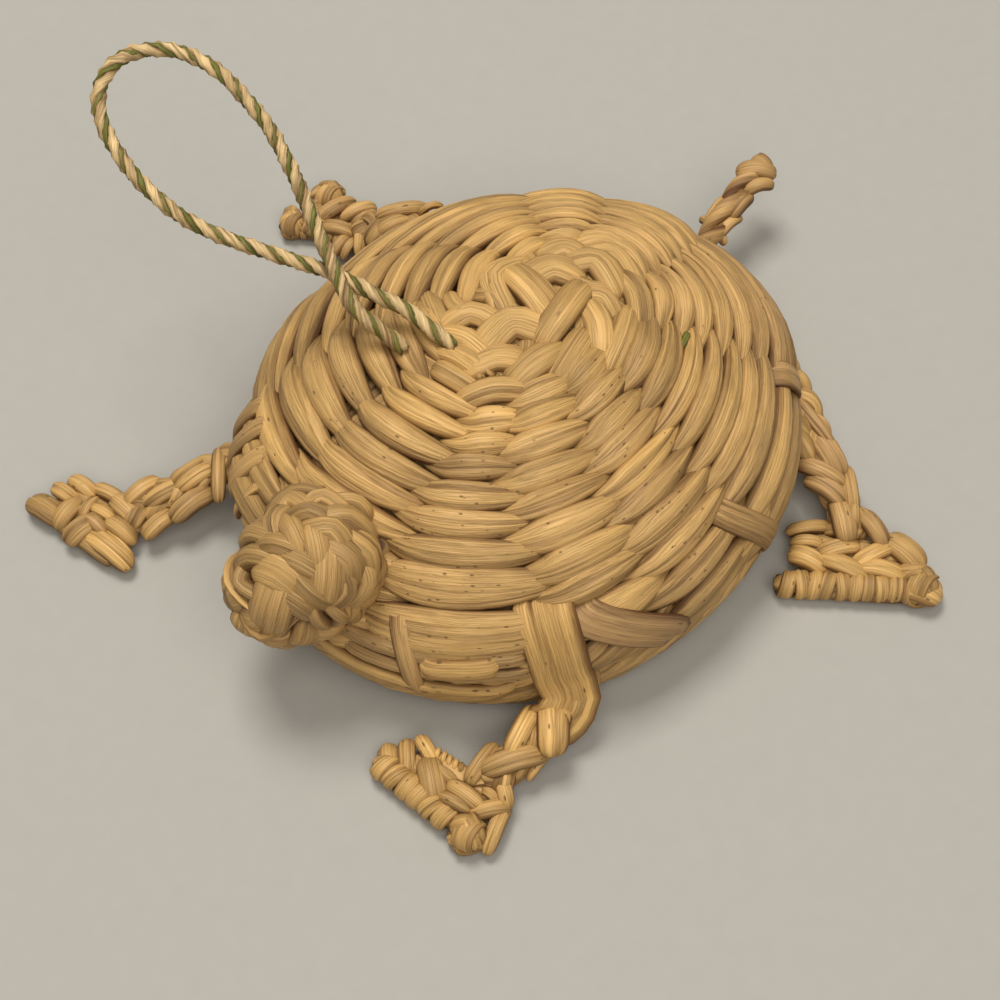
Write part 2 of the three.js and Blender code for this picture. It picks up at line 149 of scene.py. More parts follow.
# The start knot: where each strand starts, bends and ends over the top of the shell, its width,
# how high its middle stands over the dome, and its shade.
KNOT = [
    ((-13.7, 9.8), (-7.8, 9.1), (-1.7, 8.3), 5.2, 2.2, 0.62),
    ((-3.5, 15.7), (-1.6, 10.4), (-0.1, 4.6), 4.4, 2.6, 0.62),
    ((-13.4, 12.7), (-13.7, 7.3), (-7.8, 4.4), 3.4, 1.5, 0.6),
    ((-14.8, 11.8), (-14.9, 6.5), (-9.7, 3.7), 2.8, 1.0, 0.55),
    ((-5.5, -2.6), (-5.6, 3.1), (-1.2, 6.1), 5.1, 1.9, 0.66),
    ((-10.3, 10.8), (-9.3, 14.7), (-6.0, 16.9), 5.0, 1.6, 0.6),
    ((-8.8, 18.1), (-6.0, 21.1), (-0.6, 20.2), 4.9, 1.8, 0.62),
    ((-0.9, 14.2), (3.3, 12.4), (7.0, 9.5), 4.2, 1.6, 0.62),
    ((-2.5, 15.3), (-0.1, 16.9), (3.3, 16.1), 3.1, 1.0, 0.55),
    ((-5.9, 16.5), (-3.2, 17.0), (-1.7, 19.4), 2.4, 0.8, 0.5),
    ((-2.1, 22.8), (2.4, 21.6), (6.8, 18.4), 3.8, 1.3, 0.6),
    ((4.2, 18.4), (7.1, 14.1), (9.4, 9.4), 4.2, 1.4, 0.62),
    ((2.7, 10.2), (4.2, 6.0), (5.5, 1.8), 4.1, 1.5, 0.64),
    ((1.9, -3.2), (1.9, 1.1), (2.2, 5.4), 4.5, 1.7, 0.62),
    ((-4.0, -7.0), (-2.6, -3.0), (-0.1, -0.2), 4.0, 1.5, 0.66),
    ((-12.4, -4.6), (-11.2, -0.0), (-5.8, 1.9), 3.9, 1.3, 0.6),
    ((-11.8, -5.8), (-8.1, -4.0), (-3.5, -3.5), 3.6, 1.6, 0.75),
    ((-0.6, -10.7), (1.1, -6.9), (3.9, -3.5), 3.9, 1.3, 0.62),
    ((-13.4, 3.3), (-11.0, 4.3), (-7.5, 3.3), 2.6, 0.9, 0.6),
    ((-18.8, -2.1), (-16.2, -3.3), (-11.9, -5.1), 3.0, 1.0, 0.6),
    ((-16.3, 0.1), (-14.2, -0.7), (-11.3, -0.6), 2.8, 0.8, 0.58),
    ((-13.2, 16.3), (-11.9, 19.6), (-8.9, 21.0), 4.6, 1.2, 0.6),
    ((-11.2, 22.5), (-8.7, 25.9), (-3.0, 26.1), 4.2, 1.2, 0.6),
    ((-8.5, 21.4), (-6.1, 24.8), (-0.2, 23.8), 3.5, 1.1, 0.58),
    ((-2.1, 3.7), (-0.9, 2.4), (0.9, 0.5), 3.1, 0.3, 0.5),
    ((-0.5, 12.7), (1.1, 11.2), (2.7, 9.4), 2.4, 0.3, 0.5),
    ((-15.5, 14.9), (-12.5, 14.2), (-9.9, 12.8), 3.9, 0.4, 0.55),
    ((-7.4, -9.6), (-5.4, -9.2), (-1.6, -8.4), 3.6, 0.9, 0.58),
    ((-10.0, 3.2), (-8.0, 4.6), (-6.0, 4.4), 3.0, 0.6, 0.55),
    ((-9.2, -7.6), (-6.4, -6.8), (-2.8, -6.2), 2.4, 1.4, 0.95),
    ((-8.6, -6.2), (-5.6, -5.4), (-2.0, -4.8), 2.2, 1.6, 0.9),
]

# Loose straws on the shell: start and end as angle and round, how high they stand, the width, how
# wide their ends stay, then the shade, warmth and green.
LOOSE_STRAWS = [
    ((-78, 12.75), (-38, 12.6), 1.5, 2.8, 0.3, 0.2, 0.4, 0),
    ((-76, 13.3), (-36, 13.2), 1.3, 2.6, 0.3, 0.25, 0.5, 0),
    ((-58, 12.95), (-44, 12.75), 2.3, 3.6, 0.95, 0.85, 0.1, 0),
    ((-82, 13.75), (-40, 13.75), 1.4, 2.6, 0.3, 0.75, 0.1, 0),
    ((10, 12.9), (24, 12.6), 1.2, 2.4, 0.8, 0.95, 0.0, 0),
    ((-119, 11.4), (-124, 13.9), 1.7, 3.4, 0.6, 0.5, 0.4, 0),
    ((-126, 11.2), (-130, 13.9), 1.9, 3.6, 0.6, 0.35, 0.5, 0),
    ((-133, 11.6), (-136, 13.9), 1.7, 3.2, 0.6, 0.3, 0.5, 0),
    ((-114, 12.0), (-118, 13.9), 1.5, 1.8, 0.7, 0.9, 0.3, 0),
    ((40, 5.2), (48, 5.4), 1.5, 1.0, 0.1, 0.4, 0, 1),
    ((30, 8.6), (36, 8.3), 1.3, 0.8, 0.1, 0.4, 0, 0.8),
    ((150, 9.7), (161, 9.3), 1.4, 1.3, 0.1, 0.4, 0, 0.9),
]

# The head's fat strands: the lean from its nose and the turn round it at the start, middle and
# end of each, its width, shade and warmth.
HEAD_STRANDS = [
    ([(100, 28), (118, 26), (138, 38)], 2.4, 0.5, 0.2),
    ([(106, 50), (118, 46), (128, 72)], 4.2, 0.6, 0.2),
    ([(126, 60), (138, 60), (150, 84)], 4.2, 0.6, 0.1),
    ([(110, 70), (124, 76), (134, 96)], 4.0, 0.25, 0.1),
    ([(128, 84), (148, 98), (156, 146)], 5.4, 0.6, 0.3),
    ([(110, 50), (101, 62), (95, 78)], 5.2, 0.45, 0.4),
    ([(108, 66), (108, 84), (105, 102)], 4.8, 0.55, 0.1),
    ([(116, 88), (131, 102), (131, 130)], 5.4, 0.55, 0.2),
    ([(120, 90), (114, 108), (104, 126)], 5.2, 0.55, 0.3),
    ([(84, 72), (95, 84), (105, 104)], 5.2, 0.4, 0.2),
    ([(74, 36), (88, 58), (97, 80)], 4.4, 0.6, 0.3),
    ([(62, 62), (77, 74), (87, 92)], 4.8, 0.3, 0.1),
    ([(94, 94), (101, 110), (105, 128)], 5.0, 0.6, 0.3),
    ([(76, 86), (85, 104), (88, 126)], 7.6, 0.8, 0.3),
    ([(122, 112), (125, 134), (117, 154)], 6.4, 0.3, 0.1),
    ([(140, 118), (140, 150), (128, 176)], 6.6, 0.45, 0.2),
    ([(121, 118), (108, 134), (94, 150)], 7.8, 0.55, 0.3),
    ([(91, 114), (92, 132), (95, 152)], 5.4, 0.25, 0.1),
    ([(116, 140), (108, 154), (93, 156)], 4.0, 0.45, 0.4),
    ([(132, 148), (121, 166), (104, 172)], 4.4, 0.7, 0.4),
    ([(80, 106), (65, 118), (46, 134)], 9.0, 0.6, 0.5),
    ([(78, 118), (82, 132), (83, 150)], 6.0, 0.35, 0.4),
    ([(66, 70), (58, 82), (61, 106)], 2.6, 0.5, 0.1),
    ([(60, 40), (52, 70), (51, 106)], 2.2, 0.8, 0.1),
    ([(38, 112), (43, 144), (72, 144)], 1.8, 0.8, 0.0),
    ([(86, 144), (83, 154), (82, 172)], 3.2, 0.4, 0.7),
    ([(94, 152), (94, 164), (93, 182)], 3.2, 0.35, 0.6),
    ([(150, 56), (164, 70), (172, 100)], 3.4, 0.6, 0.1),
]

# The legs run out from the rim to a flat foot between a heel and a toe. A bar of turns wraps the
# toe of the two left feet.
LEGS = {
    "right_front": dict(
        route=[
            (-27.6, -34.4, 8), (-29.9, -41.2, 6.6), (-31.4, -46.5, 5), (-33.4, -53.6, 3.2),
        ],
        heel=[(-43, -57.4), (-31, -54.6)],
        toe=[(-44.6, -62), (-29, -59.4)],
        bar=None,
        shade=0.55,
        warmth=0.3,
    ),
    "left_front": dict(
        route=[
            (34, -16.6, 8.6), (37.2, -23.4, 7.2), (37.7, -31.5, 5.4), (38.4, -41, 3.4),
        ],
        heel=[(28, -45), (41, -41)],
        toe=[(26, -49.6), (42, -47.6)],
        bar=[(24.2, -50.6), (38.2, -48.6)],
        shade=0.65,
        warmth=0.1,
    ),
    "left_rear": dict(
        route=[
            (18, 40.4, 9.6), (24.5, 38.4, 8.8), (30.2, 36.4, 7), (37.8, 33.4, 5.2), (46.4, 29.4, 3.4),
        ],
        heel=[(41, 23.6), (53, 33)],
        toe=[(46, 17.6), (58.6, 29.6)],
        bar=[(43.6, 15.3), (58.4, 30.2)],
        shade=0.6,
        warmth=0.25,
    ),
    "right_rear": dict(
        route=[
            (-35.8, 20.6, 9), (-40.4, 17.6, 7.4), (-45.2, 14.4, 5.6), (-52, 9.6, 3.4),
        ],
        heel=[(-56.4, 12.4), (-51, 5.6)],
        toe=[(-61.4, 10.6), (-58.4, 2)],
        bar=None,
        shade=0.5,
        warmth=0.4,
    ),
}

# The fat folded strands of each leg, foot and the tail: start and end in plan, the height of the
# middle line, the width, the shade and the warmth.
LIMB_STRANDS = {
    "leg_right_front": [
        (-30.3, -38.7, -30.9, -44.7, 7.6, 4.4, 0.8, 0.1),
        (-30.6, -36.8, -24.4, -41.9, 9, 2.3, 0.35, 0.3), (-27, -41.8, -27.3, -48.3, 6.6, 3.5, 0.5, 0.4),
        (-31.1, -43.9, -32.3, -50, 6.2, 3.1, 0.6, 0.3),
        (-29.3, -46.7, -31.5, -50.1, 5.2, 1.4, 0.5, 0.3), (-34.9, -46.9, -35, -51.9, 5.4, 3, 0.6, 0.3),
        (-29, -48, -28.9, -53.2, 4.6, 3, 0.6, 0.3),
    ],
    "foot_right_front": [
        (-46.3, -62.9, -41.6, -61.6, 2.6, 4.2, 0.35, 0.1),
        (-45.8, -58.9, -42.3, -58, 3.2, 2.6, 0.72, 0.2), (-45, -56.1, -41, -55.3, 3.2, 2.8, 0.8, 0.2),
        (-41.2, -58.1, -40.3, -62.4, 3.4, 3.3, 0.5, 0.3),
        (-39.8, -55.5, -38.6, -59.1, 3.6, 1.7, 0.5, 0.4),
        (-37.8, -58.4, -34.2, -58, 3.8, 2.3, 0.5, 0.7),
        (-38.4, -56.5, -35.1, -55.5, 3.9, 2.1, 0.8, 0.2),
        (-36.9, -58.2, -36.9, -62.6, 3.2, 3.6, 0.5, 0.4),
        (-41.4, -54.1, -36.8, -52.5, 3.2, 2.5, 0.5, 0.3),
        (-37.1, -53, -31.2, -52.6, 3.7, 4.1, 0.6, 0.4),
        (-34.8, -56.2, -30.3, -55.5, 3.6, 3.1, 0.75, 0.3), (-35.3, -60, -27.6, -58.7, 3, 3.5, 1, 0.1),
        (-34.4, -58, -28.3, -57.7, 3, 2.1, 0.8, 0.2),
    ],
    "leg_left_front": [
        (35.7, -26.3, 41.3, -31.2, 7.4, 4.8, 0.75, 0.0), (34.7, -29.3, 37.2, -35.6, 7, 3.1, 0.85, 0.0),
        (40.1, -32.4, 36.7, -39.8, 5.9, 3.7, 0.45, 0.3), (40.6, -30.4, 41.4, -35.6, 4.6, 1.6, 0.4, 0.3),
        (38.9, -38.9, 42.2, -40.8, 4.2, 2.4, 0.7, 0.1), (34.6, -36.8, 36, -42.5, 4.6, 2.9, 0.5, 0.2),
    ],
    "foot_left_front": [
        (23.5, -48.2, 27.4, -51.1, 2.4, 3.3, 0.5, 0.2), (24.8, -45.6, 28.3, -48.4, 2.9, 2.7, 0.5, 0.2),
        (25.8, -43.6, 30, -44.7, 3.2, 2.4, 0.8, 0.0), (28.9, -42.6, 29.9, -44.1, 3.4, 0.8, 0.85, 0),
        (29.9, -42.3, 31, -43.9, 3.4, 0.8, 0.85, 0), (30.9, -42, 32, -43.6, 3.4, 0.8, 0.8, 0),
        (32, -41.8, 33, -43.3, 3.4, 0.8, 0.85, 0), (32.9, -41.6, 34, -43, 3.4, 0.8, 0.8, 0),
        (29.6, -45.3, 34.2, -48, 3.6, 4, 0.35, 0.2), (29.9, -45.5, 34.3, -44.4, 3.8, 1.9, 0.55, 0.3),
        (34.7, -47.3, 38.9, -45.8, 3.9, 2.4, 0.25, 0.2), (34.7, -45.1, 39.6, -44.1, 4.1, 2.7, 0.6, 0.3),
        (36.1, -42.7, 38.8, -39.4, 3.9, 1.7, 0.65, 0.3), (38.4, -42, 41.1, -41.7, 3.8, 1.6, 0.6, 0.2),
        (40.5, -50.1, 44.2, -46.9, 2.6, 2.7, 0.65, 0.1), (42, -41.1, 45.1, -47.4, 2.8, 2.5, 0.65, 0.1),
        (39.9, -45.6, 42.4, -41.2, 3.4, 2.7, 0.55, 0.1),
    ],
    "leg_left_rear": [
        (18.6, 38.3, 32.9, 36.6, 9.4, 2.1, 0.35, 0.8), (20.4, 35.4, 29.4, 35.2, 9.2, 2.7, 0.35, 0.2),
        (23.6, 34.5, 32.3, 32.8, 8.4, 3.5, 0.25, 0.1), (29.9, 36.2, 37.2, 34.3, 7.6, 4, 0.5, 0.8),
        (32.3, 31.6, 38.6, 33.7, 7, 3.8, 0.5, 0.7), (35.2, 30.6, 40.7, 31.6, 6.4, 3.6, 0.45, 0.7),
        (37.5, 36.1, 42.9, 31.9, 6.4, 2.4, 0.6, 0.3), (42.3, 32.9, 44.9, 30.5, 6, 1.6, 0.6, 0.3),
        (40.9, 31.3, 45.6, 28.2, 5.4, 4, 0.5, 0.5), (44.6, 32.8, 49.9, 31.7, 5, 3, 0.5, 0.6),
        (43.8, 33.4, 49.3, 32.4, 5.4, 1.1, 0.5, 0.6),
    ],
    "foot_left_rear": [
        (38.4, 23.3, 41.9, 28, 3.2, 2.2, 0.6, 0.1), (40.3, 22.1, 43.4, 24.9, 3.6, 1.9, 0.85, 0.1),
        (41.8, 20.4, 46.2, 22, 3.4, 3.4, 0.85, 0.1), (44.7, 23.8, 47.3, 28.6, 3.8, 2.9, 0.6, 0.2),
        (45.1, 23.1, 51.6, 25.8, 3.6, 3.2, 0.75, 0.1), (42.5, 27.7, 46.1, 29.9, 3.6, 2.7, 0.4, 0.3),
        (49.5, 26.7, 51.1, 32.8, 3.8, 2.8, 0.75, 0.1), (50.4, 26.7, 55.5, 30, 3.6, 3.2, 0.8, 0.0),
        (50.2, 33.3, 56.1, 33.7, 3.6, 4.4, 0.6, 0.2), (55.1, 30.2, 58.6, 33.7, 3.6, 2.5, 0.7, 0.2),
        (57.1, 30.1, 61.2, 32.1, 3, 5.1, 0.85, 0.2),
    ],
    "leg_right_rear": [
        (-43.1, 20.8, -44.2, 17.6, 9.4, 1.3, 0.6, 0.1), (-45.5, 19.1, -49.3, 12.7, 7.8, 2.6, 0.5, 0.3),
        (-45.7, 16, -47.2, 10.8, 6.8, 3.5, 0.45, 0.3), (-47.7, 15.6, -47.2, 9, 5.8, 4.3, 0.45, 0.3),
    ],
    "foot_right_rear": [
        (-62.8, 9.1, -60.4, 12.5, 3.4, 3, 0.7, 0.5), (-61.1, 7.7, -60, 11.1, 3.2, 2.1, 0.4, 0.4),
        (-63.4, 4.1, -59.8, 1.2, 2.4, 2.9, 0.45, 0.3), (-61.5, 4.3, -58.1, 2.4, 2.6, 2, 0.4, 0.3),
        (-58, 6.3, -57.1, 12.2, 3.8, 3.1, 0.55, 0.4), (-55.1, 9.3, -53.8, 14.1, 4, 2.8, 0.55, 0.4),
        (-56.2, 5.8, -51.9, 8.4, 3.8, 2.6, 0.5, 0.4), (-54, 9.7, -52.6, 13.9, 3.8, 1.8, 0.55, 0.3),
        (-52.4, 10.9, -48.1, 6.7, 4, 2.2, 0.7, 0.2), (-52.2, 7.6, -51.3, 3.7, 3.2, 2, 0.5, 0.5),
        (-49.9, 4.6, -50.8, 8, 3, 1.9, 0.5, 0.5), (-59.6, 4.7, -55.4, 5.1, 3, 2.7, 0.5, 0.4),
    ],
    "tail": [
        (-11, 51.8, -5.6, 51.2, 9.8, 1.8, 0.5, 0.5), (-7, 55.9, -6.7, 51.3, 10.4, 2.1, 0.6, 0.5),
        (-10.8, 57, -9.4, 51.4, 11, 2, 0.8, 0.3), (-8.6, 59.5, -7.8, 54.8, 11.6, 3.1, 0.55, 0.5),
        (-11.2, 62, -10, 58.3, 12.4, 1.5, 0.65, 0.5), (-9, 59.8, -7.4, 63.5, 12.6, 2.5, 0.55, 0.5),
        (-12.1, 61.6, -8.6, 65, 13.2, 3.2, 0.6, 0.5),
    ],
}
BAR_RADIUS = 2.2
WRAP_PITCH = 2.2
WRAP_START = 200
WRAP_SWEEP = 330
BRAID_PERIOD = 12
BRAID_SWAY = 1.55
BRAID_LIFT = 0.75
BRAID_ROLL = 0.5
TAIL_TWIST = 15
TAIL_ROUTE = [
    (-6, 43.6, 9.4), (-7.4, 49.4, 9.8), (-9, 55.2, 11), (-10, 59.8, 11.8), (-10.6, 64.8, 12.4),
]

# The straps that bind the legs to the rim: start and end as angle and round, width, shade and warmth.
STRAPS = {
    "strap_left_front": ((-35.5, 10.8), (-31, 13.4), 9.0, 0.95, 0.0),
    "strap_left_side": ((-28, 11.2), (-8, 13.5), 6.0, 0.4, 0.9),
    "strap_left_middle": ((9, 10.6), (20, 13.8), 4.6, 0.38, 0.5),
    "strap_left_rear": ((50, 11.0), (52, 12.7), 4.6, 0.38, 0.6),
    "strap_by_head": ((-66, 11.4), (-59, 13.8), 3.2, 0.45, 0.6),
}
STRAP_THICKNESS = 0.64
# The widest strap runs on over the root of its leg, and turns one way outwards.
STRAP_RUNS = {
    "strap_left_front": ([(37.8, -24.2, 9.2), (38.6, -27.2, 6.8), (37.2, -29.6, 4.8)], (0.66, -0.46, 0.6)),
}

# The knobs where a foot's binding ends: their middles and radius.
KNOBS = {
    "left_front": [(41.6, -48.2, 2.8, 2.7)],
    "left_rear": [(58.8, 31.0, 2.8, 2.8)],
    "right_rear": [(-60.8, 2.2, 2.4, 2.2), (-60.6, 10.4, 3.0, 2.4)],
    "right_front": [],
}

LOOP_TWIST = 8.8
# The cord's plies: how far out each lies, its half width, shade and green.
LOOP_PLIES = [(0.5, 0.9, 1.0, 0), (0.76, 0.46, 0.3, 1.0), (0.5, 0.9, 0.95, 0), (0.74, 0.48, 0.4, 0.9)]
LOOP_ROUTE = [
    (-7.9, -6.2, 33.7), (-12.3, -7.3, 35), (-16.5, -8.4, 36.5), (-20.4, -10.3, 37.5),
    (-23.9, -11.8, 38.3), (-26.5, -13, 39), (-28.9, -14.6, 39.8), (-32.8, -17.6, 41.2),
    (-37.8, -21.3, 42.9), (-43.1, -24.8, 44.9), (-48.9, -27, 47.2), (-54.8, -27.8, 49.8),
    (-60.5, -27.3, 52.8), (-64.7, -25, 55.5), (-66.2, -21, 57.5), (-64.9, -16.6, 58.5),
    (-61.5, -12.8, 58.4), (-56.5, -10.1, 57.2), (-50.4, -9.1, 54.8), (-45.1, -9, 52.3),
    (-39.8, -9.9, 49.4), (-34.9, -11.2, 46.7), (-30, -12.6, 43.9), (-26.2, -13.6, 41.7),
    (-23, -14.4, 39.6), (-20.2, -14.4, 37.7), (-17.6, -13.4, 35.8), (-15.1, -12.3, 34),
    (-12.9, -11.8, 32.7),
]

CAMERA_PLACE = (115.98, -108.73, 287.46)
CAMERA_AIM = (-0.3489, 0.3141, -0.8829)
CAMERA_LENS = 72.53
ROOM_COLOUR = (1.0, 0.97, 0.92, 1)
ROOM_LIGHT = 0.26
LAMPS = {
    "window": dict(place=(-0.3, 0.08, 0.9), size=0.35, power=6.4, colour=(1.0, 0.97, 0.92)),
    "ceiling": dict(place=(0.45, -0.2, 0.9), size=0.8, power=5.6, colour=(1.0, 0.96, 0.9)),
}


# ---------------------------------------------------------------- surfaces and routes


def spline(points, t):
    """A smooth curve through the points, at each t from 0 to 1."""
    points = np.array(points, float)
    last = len(points) - 1
    place = np.clip(t, 0, 1) * last
    k = np.minimum(place.astype(int), last - 1)
    f = (place - k)[:, None]
    before, start = points[np.maximum(k - 1, 0)], points[k]
    end, after = points[k + 1], points[np.minimum(k + 2, last)]
    return 0.5 * (
        2 * start
        + (end - before) * f
        + (2 * before - 5 * start + 4 * end - after) * f**2
        + (3 * start - before - 3 * end + after) * f**3
    )


def even(points, count):
    """The points of a smooth curve, an even distance apart, and its length."""
    fine = spline(points, np.linspace(0, 1, 40 * len(points)))
    run = np.concatenate([[0], np.cumsum(np.linalg.norm(np.diff(fine, axis=0), axis=1))])
    steps = np.linspace(0, run[-1], count)
    return np.stack([np.interp(steps, run, fine[:, i]) for i in range(3)], 1), run[-1]


def unit(vectors):
    """The vectors' directions."""
    return vectors / np.maximum(np.linalg.norm(vectors, axis=-1, keepdims=True), 1e-9)


def top_base(x, y):
    """The dome over a place in plan."""
    reach = np.clip(np.hypot(x / SHELL_HALF_WIDTH, y / SHELL_HALF_LENGTH), 0, 1)
    height = SHELL_WAIST + (SHELL_TOP - SHELL_WAIST) * np.sqrt(1 - reach**DOME_POWER)
    return np.stack([x, y, height], -1)


def shell_base(angle, row):
    """The dome at an angle round the start of the weave, on a round of it."""
    turn = np.radians(angle)
    reach = 1 - (1 - np.clip(row / ROUNDS, 0, 0.9999)) ** ROUND_POWER
    x = WEAVE_START[0] * (1 - reach) + SHELL_HALF_WIDTH * reach * np.cos(turn)
    y = WEAVE_START[1] * (1 - reach) + SHELL_HALF_LENGTH * reach * np.sin(turn)
    return top_base(x, y)


def belly_base(angle, row):
    """The underside: flat, with its rounds coming out to the rim and a little way up it."""
    turn = np.radians(angle)
    reach = np.clip(row / ROUNDS, 0, 1)
    lift = BELLY_LIFT * np.clip((reach - 0.9) / 0.1, 0, 1) ** 2
    x = BELLY_HALF_WIDTH * BELLY_INSET * reach * np.cos(turn)
    y = BELLY_HALF_LENGTH * BELLY_INSET * reach * np.sin(turn)
    return np.stack([x, y, BELLY_FLOOR + lift], -1)


def lid_base(angle, row):
    """The flat top of the underside, inside the shell."""
    return belly_base(angle, row) * (1, 1, 0) + (0, 0, BELLY_TOP - 0.6)


HEAD_FORWARD = HEAD_AXIS / np.linalg.norm(HEAD_AXIS)
HEAD_SIDE = unit(np.cross(HEAD_FORWARD, (0, 0, 1)))
HEAD_UP = np.cross(HEAD_SIDE, HEAD_FORWARD)


def head_base(lean, turn):
    """The head at a lean from its nose and a turn round it. It is a little slimmer at the nose."""
    lean, turn = np.radians(lean), np.radians(turn)
    radius = (HEAD_HALF_WIDTH * (1 - 0.1 * np.cos(lean)) * np.sin(lean))[..., None]
    along = (HEAD_HALF_LENGTH * np.cos(lean))[..., None]
    around = HEAD_SIDE * np.cos(turn)[..., None] + HEAD_UP * np.sin(turn)[..., None]
    return HEAD_CENTRE + HEAD_FORWARD * along + around * radius


class Surface:
    """A curved surface that strands lie on, with its outward side away from an inner point."""

    def __init__(self, base, inside, steps=(0.5, 0.02), sink=0):
        self.base, self.inside, self.steps, self.sink = base, np.array(inside, float), steps, sink

    def outward(self, a, b):
        """The surface at two places on it, and its direction outwards there."""
        here = self.base(a, b)
        first, second = self.base(a + self.steps[0], b) - here, self.base(a, b - self.steps[1]) - here
        up = unit(np.cross(first, second))
        return here, up * np.sign(np.sum((here - self.inside) * up, axis=-1, keepdims=True))

    def route(self, controls):
        """A route through controls, each two places on the surface and a height over it."""

        def at(t):
            a, b, out = spline(controls, t).T
            here, up = self.outward(a, b)
            return here + up * (out - self.sink)[:, None], up

        return at


SHELL = Surface(shell_base, SHELL_INSIDE, sink=SHELL_SINK)
TOP = Surface(top_base, SHELL_INSIDE, (0.1, 0.1), sink=SHELL_SINK)
BELLY = Surface(belly_base, BELLY_INSIDE)
LID = Surface(lid_base, (0, 0, 0))
HEAD = Surface(head_base, HEAD_CENTRE, (0.5, 0.5), sink=HEAD_SINK)


def arched(start, middle, end, beyond, heights):
    """Controls of a strand that dives in past both ends. heights are past them, at them and in
    the middle."""
    start, middle, end = (np.array(place, float) for place in (start, middle, end))
    past, at_end, top = heights
    before, after = start + beyond * (start - middle), end + beyond * (end - middle)
    return [(*before, past), (*start, at_end), (*middle, top), (*end, at_end), (*after, past)]


def free_route(points, up=(0, 0, 1)):
    """A route through points in the open, with one side kept up."""

    def at(t):
        here = spline(points, t)
        return here, np.tile(np.array(up, float), (len(here), 1))

    return at


def around_route(points, wind):
    """A route that winds round a line: wind(s) gives how far aside and up it is, and its turn."""
    line, length = even(points, 120)

    def at(t):
        s = np.clip(t, 0, 1)
        here = spline(line, s)
        ahead = unit(spline(line, s + LOOK_AHEAD) - spline(line, s - LOOK_AHEAD))
        side = unit(np.cross(ahead, np.array([0.0, 0.0, 1.0])))
        up = np.cross(side, ahead)
        aside, lift, turn = wind(s * length)
        lean = side * np.cos(turn)[:, None] + up * np.sin(turn)[:, None]
        return here + side * aside[:, None] + up * lift[:, None], lean

    return at


def twist_route(points, radius, pitch, first):
    """A route twisted round a line, as the plies of a cord are."""

    def wind(s):
        turn = first - 2 * np.pi * s / pitch
        return radius * np.cos(turn), radius * np.sin(turn), turn

    return around_route(points, wind)


def braid_route(points, first):
    """A route that weaves from side to side along a line, as one of three strands."""

    def wind(s):
        turn = 2 * np.pi * s / BRAID_PERIOD + first
        sway, lift = BRAID_SWAY * np.sin(turn), BRAID_LIFT * np.sin(2 * turn)
        return sway, lift, np.pi / 2 - BRAID_ROLL * np.sin(turn)

    return around_route(points, wind)


# ---------------------------------------------------------------- the straw blade


def places(mesh):
    """The places of a mesh's vertices."""
    flat = np.zeros(len(mesh.vertices) * 3)
    mesh.vertices.foreach_get("co", flat)
    return flat.reshape(-1, 3)


def mark(mesh, straw_map, look, crease):
    """Stores what the straw finish reads: a map along the straw, its look, and its crease value, the
    painted shade in its folds and at its edges.
    """
    corner = np.zeros(len(mesh.loops), int)
    mesh.loops.foreach_get("vertex_index", corner)
    lines = mesh.uv_layers.get("Straw") or mesh.uv_layers.new(name="Straw")
    lines.uv.foreach_set("vector", straw_map[corner].ravel())
    count = len(mesh.vertices)
    strand = mesh.color_attributes.new("strand", "FLOAT_COLOR", "POINT")
    strand.data.foreach_set("color", np.tile(look, count))
    folds = mesh.attributes.new("crease", "FLOAT", "POINT")
    folds.data.foreach_set("value", np.zeros(count) + crease)


